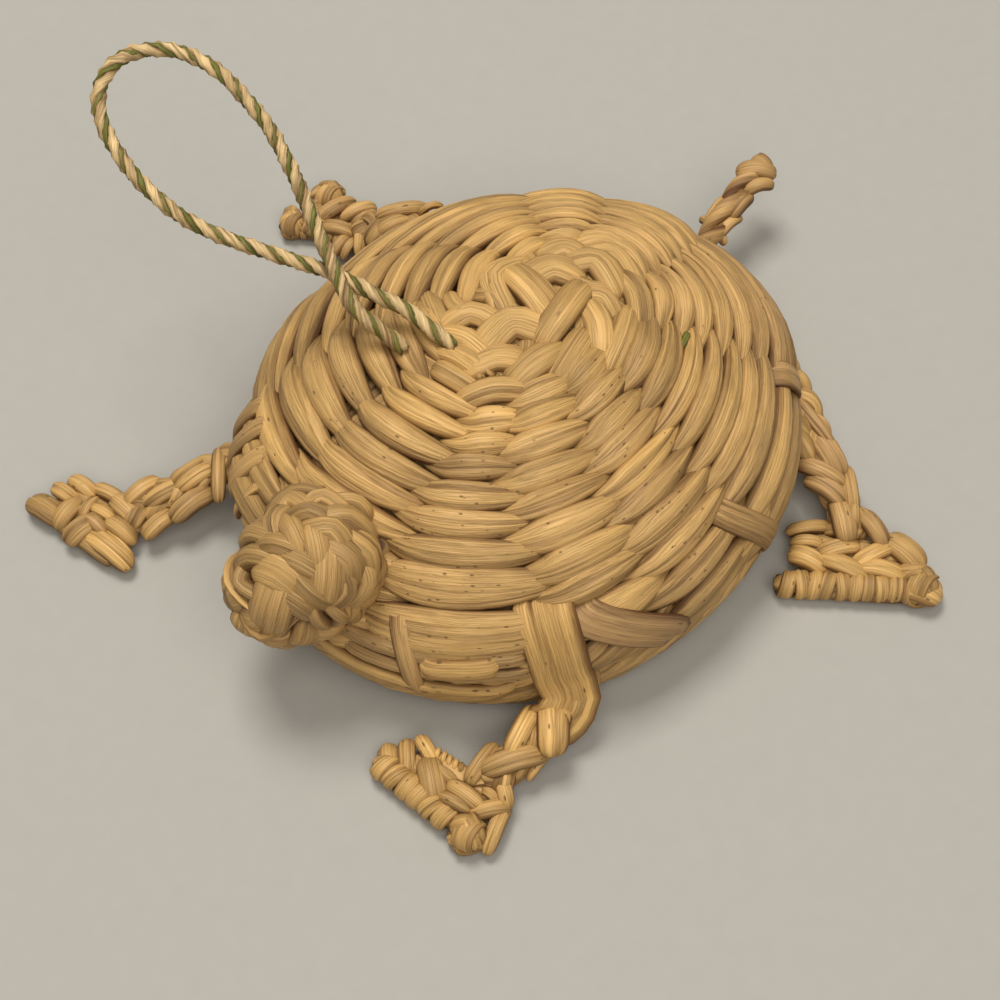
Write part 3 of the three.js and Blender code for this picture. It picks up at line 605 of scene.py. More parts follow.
class Blade:
    """A closed length of straw, modelled once. Each strand is a copy laid along its own route."""

    def __init__(self, name, around, along):
        bpy.ops.object.select_all(action="DESELECT")
        bpy.ops.mesh.primitive_cylinder_add(vertices=around, radius=1, depth=1, end_fill_type="TRIFAN")
        self.object = bpy.context.object
        self.object.name = name
        bpy.ops.object.mode_set(mode="EDIT")
        bpy.ops.mesh.select_mode(type="EDGE")
        bpy.ops.mesh.select_all(action="DESELECT")
        work = bmesh.from_edit_mesh(self.object.data)
        for edge in work.edges:
            edge.select = abs(edge.verts[0].co.z - edge.verts[1].co.z) > 0.5
        bmesh.update_edit_mesh(self.object.data)
        bpy.ops.mesh.subdivide(number_cuts=along - 1)
        bpy.ops.mesh.select_mode(type="VERT")
        bpy.ops.object.mode_set(mode="OBJECT")
        co = places(self.object.data)
        t = co[:, 2] + 0.5
        crowded = 0.5 - 0.5 * np.cos(np.pi * t)
        self.t = np.clip((1 - TIP_CROWDING) * t + TIP_CROWDING * crowded, 0, 1)
        self.middle = np.hypot(co[:, 0], co[:, 1]) < 0.5
        share = (np.arctan2(co[:, 1], co[:, 0]) / (2 * np.pi)) % 1
        self.over = share < BACK_SHARE
        under = 1 + (share - BACK_SHARE) / (1 - BACK_SHARE)
        turn = np.pi * np.where(self.over, share / BACK_SHARE, under)
        self.x = np.where(self.middle, 0, np.cos(turn))
        self.z = np.where(self.middle, 0, np.sin(turn))

    def narrowed(self, tips, ends, point):
        """How wide the strand is all along it, from 0 to 1."""
        narrow = np.ones_like(self.t)
        for from_end, tip, end in ((self.t, tips[0], ends[0]), (1 - self.t, tips[1], ends[1])):
            rest = 1 - np.clip(from_end / tip, 0, 1)
            narrow *= end + (1 - end) * (1 - rest**2) ** point
        return narrow

    def creased(self, pleats, rng):
        """How deep its back is folded, from 0 to 1. The pleats draw together at its ends."""
        crease = np.zeros_like(self.t)
        middles = sorted(rng.uniform(-0.82, 0.82) for _ in range(pleats))
        kinds = [
            (rng.uniform(0.4, 1.0), rng.uniform(0.13, 0.24), rng.uniform(-0.3, 0.3)) for _ in middles
        ]
        gather = 0.35 + 0.65 * np.abs(2 * self.t - 1) ** 1.3
        for middle, (strength, breadth, drift) in zip(middles, kinds):
            away = (self.x - middle - drift * (self.t - 0.5)) / breadth
            crease = np.maximum(crease, np.exp(-(away**2)) * strength * gather)
        return np.where(self.over & ~self.middle, crease, 0)

    def lay(
        self, route, width, thick, rng, look, tips=(0.4, 0.45), ends=(0.08, 0.08), point=0.58,
        pleats=4, depth=0.32, square=1.0, under=0.55,
    ):
        """Copies the blade onto a route. tips are how much of the length each end narrows over,
        ends the widths left there, point how bluntly, depth the pleats' depth, square how flat
        the back is, under how full the underside is, and look the shade, warmth, green and
        specks."""
        t = self.t
        here, up = route(t)
        ahead = unit(route(np.clip(t + LOOK_AHEAD, 0, 1))[0] - route(np.clip(t - LOOK_AHEAD, 0, 1))[0])
        side = unit(np.cross(ahead, up))
        up = np.cross(side, ahead)
        length = np.linalg.norm(np.diff(route(np.linspace(0, 1, 24))[0], axis=0), axis=1).sum()
        narrow = self.narrowed(tips, ends, point)
        full = narrow**0.75
        crown = np.abs(self.z) ** square * np.where(self.over, 1, under)
        crease = self.creased(pleats, rng)
        bend = rng.uniform(-0.06, 0.06)
        x = self.x * narrow * width / 2 + bend * width * np.sin(np.pi * t)
        tilt = rng.uniform(-0.12, 0.12)
        z = np.sign(self.z) * (crown - depth * crease) * full * thick + tilt * self.x * thick * narrow
        mesh = self.object.data.copy()
        strand = bpy.data.objects.new("strand", mesh)
        bpy.context.collection.objects.link(strand)
        co = (here + side * x[:, None] + up * z[:, None]) * MM + AXIS
        mesh.vertices.foreach_set("co", co.ravel())
        shift = (rng.uniform(0, 50), rng.uniform(0, 50))
        straw_map = np.stack([self.x * width / 2 + shift[0], t * length + shift[1]], -1) / MAP_SIZE
        shade, warmth, green, specks = look
        shade = min(1, max(0, shade + rng.uniform(-0.1, 0.1)))
        # Painted shade: the crease value darkens each strand in the folds of its back and towards its
        # edges and narrowed tips, where it meets its neighbours.
        edge = np.clip(np.abs(self.x) ** 5 + 0.8 * (1 - full) ** 1.6, 0, 1)
        mark(mesh, straw_map, (shade, warmth, green, specks), np.clip(np.maximum(crease, edge), 0, 1))
        return strand


def core(name, surface, first, second, out, size=(36, 12)):
    """A dark skin under a weave, from a grid wrapped over its surface. Its darkness is painted shade in
    the gaps between the strands.
    """
    bpy.ops.object.select_all(action="DESELECT")
    bpy.ops.mesh.primitive_grid_add(x_subdivisions=size[0], y_subdivisions=size[1], size=2)
    skin = bpy.context.object
    skin.name = name
    mesh = skin.data
    u, v = (places(mesh)[:, :2].T + 1) / 2
    a = first[0] + (first[1] - first[0]) * u
    b = second[0] + (second[1] - second[0]) * v
    here, up = Surface(surface.base, surface.inside).outward(a, b)
    mesh.vertices.foreach_set("co", ((here + up * out) * MM + AXIS).ravel())
    bpy.ops.object.mode_set(mode="EDIT")
    bpy.ops.mesh.select_all(action="SELECT")
    bpy.ops.mesh.remove_doubles(threshold=0.00002)
    bpy.ops.mesh.normals_make_consistent(inside=False)
    bpy.ops.object.mode_set(mode="OBJECT")
    # Painted shade: the skin is very dark straw with a strong crease value, so the gaps of the weave over
    # it look shaded.
    mark(mesh, places(mesh)[:, :2] * 10, (0.1, 0.1, 0, 0), 0.6)
    return skin


# ---------------------------------------------------------------- materials


class Wire:
    """A socket in a material, so that shader maths reads as Python."""

    def __init__(self, finish, socket):
        self.finish, self.socket = finish, socket

    def outlet(self, number):
        """Another output of the same node."""
        return Wire(self.finish, self.socket.node.outputs[number])

    def maths(self, operation, *others):
        return self.finish.node("ShaderNodeMath", {"operation": operation}, self, *others)

    def __add__(self, other):
        return self.maths("ADD", other)

    __radd__ = __add__

    def __mul__(self, other):
        return self.maths("MULTIPLY", other)

    __rmul__ = __mul__

    def __sub__(self, other):
        return self.maths("SUBTRACT", other)

    def __rsub__(self, other):
        return self.finish.node("ShaderNodeMath", {"operation": "SUBTRACT"}, other, self)

    def __pow__(self, other):
        return self.maths("POWER", other)

    def limited(self):
        return self.finish.node("ShaderNodeClamp", {}, self)


class Finish:
    """A material and its nodes."""

    def __init__(self, name):
        self.material = bpy.data.materials.new(name)
        self.material.use_nodes = True
        self.nodes = self.material.node_tree.nodes
        self.links = self.material.node_tree.links
        self.shader = self.nodes["Principled BSDF"]

    def node(self, kind, settings, *values, out=0, **named):
        made = self.nodes.new(kind)
        for key, value in settings.items():
            setattr(made, key, value)
        for key, value in [*enumerate(values), *named.items()]:
            self.feed(made.inputs[key.replace("_", " ") if isinstance(key, str) else key], value)
        return Wire(self, made.outputs[out])

    def feed(self, socket, value):
        if isinstance(value, Wire):
            self.links.new(value.socket, socket)
        else:
            socket.default_value = value

    def mix(self, factor, first, second, blend="MIX"):
        made = self.nodes.new("ShaderNodeMix")
        made.data_type, made.blend_type = "RGBA", blend
        for key, value in ((0, factor), (6, first), (7, second)):
            self.feed(made.inputs[key], value)
        return Wire(self, made.outputs[2])

    def ramp(self, value, low, high):
        """0 up to low, 1 from high, and smooth between."""
        smooth = {"interpolation_type": "SMOOTHSTEP"}
        return self.node("ShaderNodeMapRange", smooth, Value=value, From_Min=low, From_Max=high)

    def surface(self, **sockets):
        for key, value in sockets.items():
            self.feed(self.shader.inputs[key.replace("_", " ")], value)
        return self.material


def solid(colour):
    return (*colour, 1)


def straw_finish(name, colours):
    """Dry straw: fibres and veins along each strand, painted shade in its folds, pleat seams and edges,
    specks, a shade of its own.
    """
    finish = Finish(name)
    uv = finish.node("ShaderNodeUVMap", {"uv_map": "Straw"})
    strand = finish.node("ShaderNodeAttribute", {"attribute_name": "strand"})
    parts = finish.node("ShaderNodeSeparateColor", {}, strand)
    shade, warmth, green = (parts.outlet(number) for number in range(3))
    specks = strand.outlet(3)
    crease = finish.node("ShaderNodeAttribute", {"attribute_name": "crease"}, out=2)
    place = finish.node("ShaderNodeTexCoord", {}, out=3)

    def fibres(across, along, detail, shift):
        """A pattern stretched along the straw, with so many grains a millimetre each way."""
        scale = (across * MAP_SIZE, along * MAP_SIZE, 1)
        stretched = finish.node("ShaderNodeMapping", {}, uv, Scale=scale, Location=(shift, shift, 0))
        settings = dict(Scale=1.0, Detail=detail, Roughness=0.6)
        return finish.node("ShaderNodeTexNoise", {}, Vector=stretched, **settings)

    fine = fibres(across=7.0, along=0.35, detail=4, shift=0)
    veins = fibres(across=2.1, along=0.05, detail=3, shift=7)
    blotch = fibres(across=0.22, along=0.11, detail=2, shift=13)
    gather = fibres(across=0.62, along=0.022, detail=1, shift=21)
    patch = finish.node("ShaderNodeTexNoise", {}, Vector=place, Scale=95.0, Detail=2.0)
    pleat = finish.ramp(gather, 0.38, 0.5)
    vein = ((veins - 0.5).maths("ABSOLUTE") * 16).limited()
    fade = finish.ramp(blotch + crease * 0.5, 0.35, 0.62)
    shown = fade * 0.9 + 0.1
    # seams: painted shade in the grooves between the bumped pleats.
    seams = (1 - pleat) * shown
    hair = (1 - vein) * (1 - fade * 0.5)
    spread = finish.node("ShaderNodeMapping", {}, uv, Scale=(120, 72, 1))
    cells = finish.node("ShaderNodeTexVoronoi", {}, Vector=spread, Scale=1.0)
    chance = finish.node("ShaderNodeSeparateColor", {}, cells.outlet(1))
    dots = finish.ramp(cells, 0.27, 0.14) * finish.ramp(chance + specks * 0.5, 1.0, 1.08)
    grain = (veins - 0.5) * 0.5 + (fine - 0.5) * 0.7 + (blotch - 0.5) * 0.9 + (patch - 0.5) * 0.6
    palest = colours.cord if name == "cord_straw" else colours.light
    colour = finish.mix((shade + grain).limited(), solid(colours.deep), solid(palest))
    pink = (warmth * 0.8 + (blotch - 0.5) * 0.3).limited()
    colour = finish.mix(pink, colour, solid(colours.warm))
    colour = finish.mix(green, colour, solid(colours.green))
    # Where the colour takes the tint: painted shade at the creases and edges and in the seams, and the
    # dark fibre lines (hair).
    folded = (crease * 0.8 + seams * 0.34 + hair * 0.19).limited()
    colour = finish.mix(folded, colour, finish.mix(1.0, colour, solid(colours.shade_and_fibre_tint), "MULTIPLY"))
    colour = finish.mix(dots * 0.8, colour, solid(colours.speck))
    height = fine * 0.2 + vein**0.5 * 0.3 + pleat**0.5 * 0.7 * shown
    bump = finish.node("ShaderNodeBump", {}, Height=height, Strength=0.9, Distance=0.0003)
    roughness = STRAW_ROUGHNESS + (fine - 0.5) * 0.25 + crease * 0.2 + dots * 0.1
    shine = dict(Roughness=roughness, Specular_IOR_Level=STRAW_SHINE)
    return finish.surface(Base_Color=colour, Normal=bump, **shine)


# ---------------------------------------------------------------- settings


def colour_setting(name, description, default):
    return bpy.props.FloatVectorProperty(
        name=name, description=description, subtype="COLOR", size=3, default=default
    )


class StrawSettings(bpy.types.PropertyGroup):
    """What a user would change."""

    stitch_fullness: bpy.props.FloatProperty(
        name="Stitch fullness",
        description="Width of a stitch against the space of its round",
        default=1.2,
        min=0.8,
        max=1.6,
    )
    stitch_rise: bpy.props.FloatProperty(
        name="Stitch rise",
        description="How far a stitch's back stands over its middle line, in millimetres",
        default=1.85,
        min=0.4,
        max=3.0,
    )
    light: colour_setting("Light straw", "The palest straw", (0.83, 0.505, 0.162))
    deep: colour_setting("Deep straw", "The darkest straw", (0.38, 0.225, 0.07))
    warm: colour_setting("Pink straw", "Straw with a pink cast", (0.50, 0.295, 0.125))
    cord: colour_setting("Cord straw", "The cream straw of the hanging cord", (0.86, 0.62, 0.30))
    green: colour_setting("Green straw", "Straw that kept its green", (0.17, 0.17, 0.02))
    # Painted shade: this tint darkens the folds, the pleat seams and the strand edges and tips; it also
    # colours the dark fibre lines.
    shade_and_fibre_tint: colour_setting("Folds", "Tint of the folds and seams", (0.19, 0.12, 0.045))
    speck: colour_setting("Specks", "The small dark specks", (0.14, 0.07, 0.02))
    floor: colour_setting("Floor", "The plain floor", (0.385, 0.372, 0.338))


# ---------------------------------------------------------------- bundles of strands


BLADES = {}
FINISHES = {}


class Bundle:
    """The strands of one piece, laid one by one and joined at the end."""

    def __init__(self, seed):
        self.rng = random.Random(seed)
        self.strands = []

    def lay(self, kind, route, width, thick, look, **shape):
        """Lays a blade of that kind, modelled the first time it is asked for."""
        if kind not in BLADES:
            BLADES[kind] = Blade(kind + "_blade", *BLADE_SIZES[kind])
        self.strands.append(BLADES[kind].lay(route, width, thick, self.rng, look, **shape))

    def wrap(self, centre, along, radius, width, look):
        """Lays one turn of a binding round a core that runs along a direction."""
        along = unit(np.array(along, float))
        side = unit(np.cross(along, (0, 0, 1)))
        up = np.cross(side, along)
        centre = np.array(centre, float)

        def at(t):
            turn = np.radians(WRAP_START + WRAP_SWEEP * t)
            out = side * np.cos(turn)[:, None] + up * np.sin(turn)[:, None]
            shift = along * ((t - 0.5) * 0.5 * width)[:, None]
            return centre + out * radius + shift, unit(out)

        shape = dict(tips=(0.04, 0.04), ends=(0.8, 0.8), pleats=3, depth=0.35)
        self.lay("ring", at, width * 1.12, 0.75, look, **shape)

    def finish(self, name, node, slot):
        """Joins the strands into one smooth piece with the material of its slot, hangs it from the root
        and hides its CAD node.
        """
        bpy.ops.object.select_all(action="DESELECT")
        for strand in self.strands:
            strand.select_set(True)
        bpy.context.view_layer.objects.active = self.strands[0]
        bpy.ops.object.join()
        piece = bpy.context.object
        piece.name = piece.data.name = name
        bpy.ops.object.mode_set(mode="EDIT")
        bpy.ops.mesh.select_all(action="SELECT")
        bpy.ops.mesh.normals_make_consistent(inside=False)
        bpy.ops.object.mode_set(mode="OBJECT")
        bpy.ops.object.shade_smooth()
        if slot not in FINISHES:
            FINISHES[slot] = straw_finish(slot, bpy.context.scene.straw)
        piece.data.materials.clear()
        piece.data.materials.append(FINISHES[slot])
        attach(piece, "root")
        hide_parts(node)
        return piece


class StrawOperator(bpy.types.Operator):
    bl_options = {"REGISTER", "UNDO"}


# ---------------------------------------------------------------- shell and belly


def column_edge(index, row):
    """The angle at which a column starts on a round."""
    near, far = COLUMNS[index % len(COLUMNS)][0]
    share = min(1.15, max(-0.2, (row - 3) / 8))
    return near + (far - near) * share + 360 * (index // len(COLUMNS))


def weave(bundle, fullness, rise):
    """The stitches of all the columns, each tucked under the next column's."""
    rng = bundle.rng
    for index, (_, rows, leans, shade, warmth, specks) in enumerate(COLUMNS):
        for place, row in enumerate(rows):
            start = column_edge(index, row) + rng.uniform(-1.2, 1.2)
            end = column_edge(index + 1, row) + rng.uniform(-1.2, 1.2)
            share = min(1, max(0, (row - 3) / 8))
            lean = leans[0] + (leans[1] - leans[0]) * share
            before = rows[place - 1] if place else 2 * row - rows[1]
            after = rows[place + 1] if place + 1 < len(rows) else 2 * row - rows[-2]
            middle = np.full(2, (start + end) / 2)
            edges = shell_base(middle, np.array([(row + before) / 2, min(13.95, (row + after) / 2)]))
            pitch = np.linalg.norm(edges[1] - edges[0])
            tuck = 6.5 + 12 / row
            controls = [
                (start + along * (end - start) + past * tuck, row + climb * lean, height)
                for along, past, climb, height in STITCH_PATH
            ]
            tone = shade + rng.uniform(-0.2, 0.24)
            pink = max(0, warmth + rng.uniform(-0.15, 0.2))
            width, thick = pitch * fullness * rng.uniform(0.92, 1.1), rise * rng.uniform(0.85, 1.12)
            bundle.lay(
                "stitch", SHELL.route(controls), width, thick, (tone, pink, 0, specks),
                pleats=rng.choice((2, 3, 3)), tips=(0.46, 0.6), ends=(0.1, 0.04), point=0.95,
            )


def rim(bundle, half_width, half_length, heights, outs):
    """Two rounds of slanting turns of straw all the way round an edge."""
    outs = np.array(outs)
    for k in [turn + first for first in (0, 0.5) for turn in range(RIM_TURNS)]:
        angle = np.radians(k * 360 / RIM_TURNS + np.array(TURN_ANGLES))
        x, y = (half_width + outs) * np.cos(angle), (half_length + outs) * np.sin(angle)
        outward = unit(np.array([math.cos(angle[2]), math.sin(angle[2]), 0.1]))
        route = free_route(np.stack([x, y, heights], -1), outward)
        look = (0.5 + bundle.rng.uniform(-0.15, 0.25), 0.2, 0, 0.1)
        bundle.lay("plain", route, 3.4, 1.0, look, pleats=2)


def start_knot(bundle):
    """The strands of the start knot, and broad ones under them."""
    rng = bundle.rng
    for start, bend, end, width, stand, shade in KNOT:
        controls = arched(start, bend, end, 0.12, (-0.8, stand * 0.45, stand * 0.9))
        look = (shade + rng.uniform(-0.3, 0.0), 0.1, 0, 0.1)
        shape = dict(tips=(0.45, 0.45), ends=(0.12, 0.12), pleats=rng.choice((2, 3, 4)), depth=0.25)
        bundle.lay("stitch", TOP.route(controls), width * 1.16, 1.6, look, **shape)
    for k in range(8):
        y = -9 + 4.8 * k
        route = TOP.route([(-14, y - 2, -0.6), (-4, y, 0.1), (5, y + 2, -0.6)])
        bundle.lay("stitch", route, 5.4, 1.0, (0.45, 0.1, 0, 0), tips=(0.1, 0.1), ends=(0.6, 0.6))


def shell_edge(bundle):
    """Two strands twisted round each other, all the way round the shell."""
    for k in [turn + first for first in (0, 0.5) for turn in range(EDGE_TURNS)]:
        controls = [(k * 360 / EDGE_TURNS + past, row, height) for past, row, height in EDGE_PATH]
        look = (0.5 + bundle.rng.uniform(-0.15, 0.25), 0.25, 0, 0.2)
        bundle.lay("lump", SHELL.route(controls), 3.3, 1.1, look, tips=(0.35, 0.35), pleats=3)


def loose_straws(bundle):
    """The single straws that lie over the shell."""
    for (a0, r0), (a1, r1), stand, width, end, shade, warmth, green in LOOSE_STRAWS:
        controls = [
            (a0, r0, stand - 1.2),
            (a0 * 0.9 + a1 * 0.1, r0, stand),
            ((a0 + a1) / 2, (r0 + r1) / 2, stand + 0.1),
            (a0 * 0.1 + a1 * 0.9, r1, stand),
            (a1, r1, stand - 1.2),
        ]
        shape = dict(tips=(0.1, 0.1), ends=(end, end), pleats=3, square=0.7)
        look = (shade, warmth, green, 0.5)
        bundle.lay("stitch", SHELL.route(controls), width, min(1.0, 0.4 * width), look, **shape)


class STRAW_OT_shell(StrawOperator):
    """Twine the domed shell, with its start knot and its rim"""

    bl_idname = "straw.shell"
    bl_label = "Shell"

    def execute(self, context):
        bundle = Bundle(11)
        settings = context.scene.straw
        weave(bundle, settings.stitch_fullness, settings.stitch_rise)
        start_knot(bundle)
        # Spokes that the stitches turn round show between them.
        for index in range(len(COLUMNS)):
            route = SHELL.route([(column_edge(index, row), row, -0.9) for row in (2, 5, 8, 11, 13.6)])
            bundle.lay("long", route, 4.0, 1.2, (0.4, 0.3, 0, 0.1), tips=(0.1, 0.1), pleats=5)
        shell_edge(bundle)
        loose_straws(bundle)
        rim(bundle, SHELL_HALF_WIDTH, SHELL_HALF_LENGTH, *SHELL_RIM)
        bundle.strands.append(core("shell_shade_skin", SHELL, FULL_TURN, (0.05, 13.99), -2.1))
        bundle.finish("shell_weave", "shell", "shell_straw")
        return {"FINISHED"}


class STRAW_OT_belly(StrawOperator):
    """Twine the flat underside and its rolled edge"""

    bl_idname = "straw.belly"
    bl_label = "Underside"

    def execute(self, context):
        bundle = Bundle(23)
        span = 360 / BELLY_COLUMNS
        width = BELLY_HALF_LENGTH / ROUNDS * 1.05 * 1.3
        for index in range(BELLY_COLUMNS):
            for row in range(2, 13):
                start = index * span + (row % 2) * 3
                controls = [
                    (start - 6, row + 0.5, 0.5),
                    (start + 0.2 * span, row + 0.2, 0.55),
                    (start + 0.7 * span, row - 0.2, 0.5),
                    (start + span + 5, row - 0.45, -0.6),
                ]
                look = (0.45 + bundle.rng.uniform(-0.1, 0.2), 0.15, 0, 0.2)
                bundle.lay("plain", BELLY.route(controls), width, 0.7, look, pleats=2)
        rim(bundle, BELLY_HALF_WIDTH, BELLY_HALF_LENGTH, *BELLY_RIM)
        bundle.strands.append(core("belly_shade_skin", BELLY, FULL_TURN, (0.05, 13.99), -0.5))
        bundle.strands.append(core("belly_top", LID, FULL_TURN, (0.05, 13.9), 0))
        bundle.finish("belly_weave", "belly", "belly_straw")
        return {"FINISHED"}


# ---------------------------------------------------------------- head


class STRAW_OT_head(StrawOperator):
    """Plait the head from fat folded strands"""

    bl_idname = "straw.head"
    bl_label = "Head"

    def execute(self, context):
        bundle = Bundle(5)
        rng = bundle.rng
        for (start, middle, end), width, shade, warmth in HEAD_STRANDS:
            route = HEAD.route(arched(start, middle, end, 0.16, (-1.5, -0.2, 0.8)))
            shape = dict(tips=(0.38, 0.38), ends=(0.3, 0.3), pleats=rng.choice((2, 3, 4)), depth=0.22)
            bundle.lay("stitch", route, width * 0.8, 2.0, (shade - 0.3, warmth * 0.7, 0, 0), **shape)
        # The far side carries the same plait, in regular rounds that close at nose and neck.
        for ring, lean in enumerate(range(28, 160, 17)):
            count = 3 if lean < 40 or lean > 140 else 9
            slant = 12 if ring % 2 else -12
            for k in range(count):
                turn = k * 360 / count
                if lean > 60:
                    turn = 180 + (k + 0.5 * (ring % 2)) * 200 / count
                before, after = (lean - slant, turn - 16, -0.8), (lean + slant, turn + 16, -0.8)
                controls = [before, (lean, turn, 0.7), after]
                look = (0.45 + rng.uniform(-0.15, 0.2), 0.3, 0, 0)
                shape = dict(pleats=3, tips=(0.35, 0.35), ends=(0.3, 0.3), depth=0.25)
                bundle.lay("lump", HEAD.route(controls), 5.2, 1.4, look, **shape)
        bundle.strands.append(core("head_shade_skin", HEAD, (2, 178), (0, 360), -2.3, (14, 24)))
        bundle.finish("head_plait", "head", "head_straw")
        return {"FINISHED"}


# ---------------------------------------------------------------- legs, feet and tail


def limb_strands(bundle, name):
    """The fat strands of a limb, each arched over what it crosses."""
    for x0, y0, x1, y1, height, width, shade, warmth in LIMB_STRANDS[name]:
        start, end = np.array([x0, y0, height]), np.array([x1, y1, height])
        drop = np.array([0, 0, 1.5])
        points = [
            start + 0.08 * (start - end) - drop,
            start * 0.88 + end * 0.12 - drop * 0.25,
            (start + end) / 2 + drop * 0.1,
            start * 0.12 + end * 0.88 - drop * 0.25,
            end + 0.08 * (end - start) - drop,
        ]
        look, thick = (shade, warmth, 0, 0.35), min(1.7, 0.42 * width + 0.15)
        pleats = bundle.rng.choice((2, 3, 4))
        shape = dict(tips=(0.34, 0.34), ends=(0.3, 0.3), pleats=pleats, depth=0.25, under=0.95)
        bundle.lay("lump", free_route(points), width * 1.05, thick, look, **shape)


class STRAW_OT_legs(StrawOperator):
    """Braid the four legs"""

    bl_idname = "straw.legs"
    bl_label = "Legs"

    def execute(self, context):
        for number, (side, leg) in enumerate(LEGS.items()):
            bundle = Bundle(40 + number)
            limb_strands(bundle, f"leg_{side}")
            for k in range(3):
                route = braid_route(leg["route"], 2 * math.pi * k / 3)
                look = (leg["shade"] - 0.1 + bundle.rng.uniform(-0.1, 0.1), leg["warmth"], 0, 0.4)
                bundle.lay("long", route, 3.4, 1.5, look, tips=(0.05, 0.05), ends=(0.5, 0.5), under=0.9)
            bundle.finish(f"leg_{side}_braid", f"leg_{side}", "limb_straw")
        return {"FINISHED"}


class STRAW_OT_feet(StrawOperator):
    """Bind the feet: a wrapped bar along the toe and a plaited row behind it"""

    bl_idname = "straw.feet"
    bl_label = "Feet"

    def knob(self, bundle, centre, radius, look):
        """A round knot of bindings, turned three ways round one middle."""
        for k in range(3):
            turn = math.radians(60 * k + 20)
            axis = (math.cos(turn), math.sin(turn), 0.35 - 0.3 * k)
            bundle.wrap(centre, axis, radius * 0.74, radius * 1.25, look())

    def bar(self, bundle, first, last, look):
        """Turns of binding along a core that runs from first to last."""
        rng = bundle.rng
        run = last - first
        length = np.linalg.norm(run)
        count = round(length / WRAP_PITCH)
        for k in range(count):
            centre = first + run * (k + 0.5) / count
            lean = run / length + 0.2 * np.array([rng.uniform(-1, 1), rng.uniform(-1, 1), 0])
            bundle.wrap(centre, lean, BAR_RADIUS - 0.55, length / count * 1.05, look())
        route = free_route([first - run * 0.04, (first + last) / 2, last + run * 0.04])
        shape = dict(tips=(0.06, 0.06), ends=(0.6, 0.6), under=1.0, pleats=0)
        bundle.lay("plain", route, 3.0, 1.5, look(), **shape)

    def filling(self, bundle, heel, toe, look):
        """Broad strands under the folded ones."""
        heel, toe = (np.array([[*place, 2.0] for place in edge]) for edge in (heel, toe))
        for share in (0.05, 0.5, 0.95):
            first, last = heel * (1 - share) + toe * share
            route = free_route([first, (first + last) / 2, last])
            shape = dict(tips=(0.15, 0.15), ends=(0.5, 0.5), under=1.0, pleats=3)
            bundle.lay("plain", route, 4.2, 1.7, look, **shape)

    def execute(self, context):
        for number, (side, leg) in enumerate(LEGS.items()):
            bundle = Bundle(60 + number)
            limb_strands(bundle, f"foot_{side}")

            def look():
                shade = leg["shade"] + bundle.rng.uniform(-0.12, 0.2)
                return shade, leg["warmth"] * bundle.rng.uniform(0.3, 1), 0, 0.3

            for *centre, radius in KNOBS[side]:
                self.knob(bundle, centre, radius, look)
            if leg["bar"]:
                first, last = (np.array([*place, BAR_RADIUS + 0.1]) for place in leg["bar"])
                self.bar(bundle, first, last, look)
            # The filling is a quarter darker than its leg: painted shade under the folded strands.
            self.filling(bundle, leg["heel"], leg["toe"], (leg["shade"] - 0.25, leg["warmth"], 0, 0))
            bundle.finish(f"foot_{side}_plait", f"foot_{side}", "limb_straw")
        return {"FINISHED"}


class STRAW_OT_tail(StrawOperator):
    """Twist the tail from two strands and knot its end"""

    bl_idname = "straw.tail"
    bl_label = "Tail"

    def execute(self, context):
        bundle = Bundle(71)
        for first in (0, math.pi):
            route = twist_route(TAIL_ROUTE, 1.0, TAIL_TWIST, first)
            shape = dict(tips=(0.05, 0.1), ends=(0.6, 0.5), under=0.9)
            bundle.lay("long", route, 3.0, 1.2, (0.6, 0.45, 0, 0.2), **shape)
        before, tip = (np.array(place) for place in TAIL_ROUTE[-2:])
        ahead = unit(tip - before)
        bundle.wrap(tip - ahead * 0.6, ahead, 1.5, 3.0, (0.5, 0.5, 0, 0.1))
        limb_strands(bundle, "tail")
        bundle.finish("tail_twist", "tail", "limb_straw")
        return {"FINISHED"}


# ---------------------------------------------------------------- straps


class STRAW_OT_straps(StrawOperator):
    """Fold the flat straps over the rim"""

    bl_idname = "straw.straps"
    bl_label = "Straps"

    def execute(self, context):
        for number, (node, strap) in enumerate(STRAPS.items()):
            (a0, r0), (a1, r1), width, shade, warmth = strap
            route = SHELL.route(
                [
                    (a0, r0 - 0.25, 0.2),
                    (a0 * 0.9 + a1 * 0.1, r0 + 0.1 * (r1 - r0), 1.9),
                    ((a0 + a1) / 2, (r0 + r1) / 2, 2.2),
                    (a1, r1, 1.9),
                    (a1, min(13.98, r1 + 0.35), 0.6),
                ]
            )
            if node in STRAP_RUNS:
                run_on, outward = STRAP_RUNS[node]
                route = free_route([*route(np.array([0, 0.15, 0.35, 0.6, 0.8]))[0], *run_on], outward)
            bundle = Bundle(80 + number)
            bundle.lay(
                "stitch", route, width, STRAP_THICKNESS, (shade, warmth, 0, 0.2), tips=(0.12, 0.08),
                ends=(0.45, 0.7), pleats=5, square=0.45, under=0.8, depth=0.5,
            )
            bundle.finish(node + "_fold", node, "strap_straw")
        return {"FINISHED"}


# ---------------------------------------------------------------- hanging cord


class STRAW_OT_cord(StrawOperator):
    """Twist the hanging cord from pale and green straw, and loop it"""

    bl_idname = "straw.cord"
    bl_label = "Hanging cord"

    def execute(self, context):
        bundle = Bundle(97)
        line, length = even(LOOP_ROUTE, 260)
        for k, (radius, half, shade, green) in enumerate(LOOP_PLIES):
            route = twist_route(LOOP_ROUTE, radius, LOOP_TWIST, math.pi / 2 * k)
            shape = dict(tips=(0.015, 0.015), ends=(0.5, 0.5), pleats=2, under=0.9, depth=0.3)
            bundle.lay("ply", route, half * 2.1, half * 0.95, (shade, 0, green, 0), **shape)
        piece = bundle.finish("hanging_loop_cord", "hanging_loop", "cord_straw")
        return {"FINISHED"}


# ---------------------------------------------------------------- stage


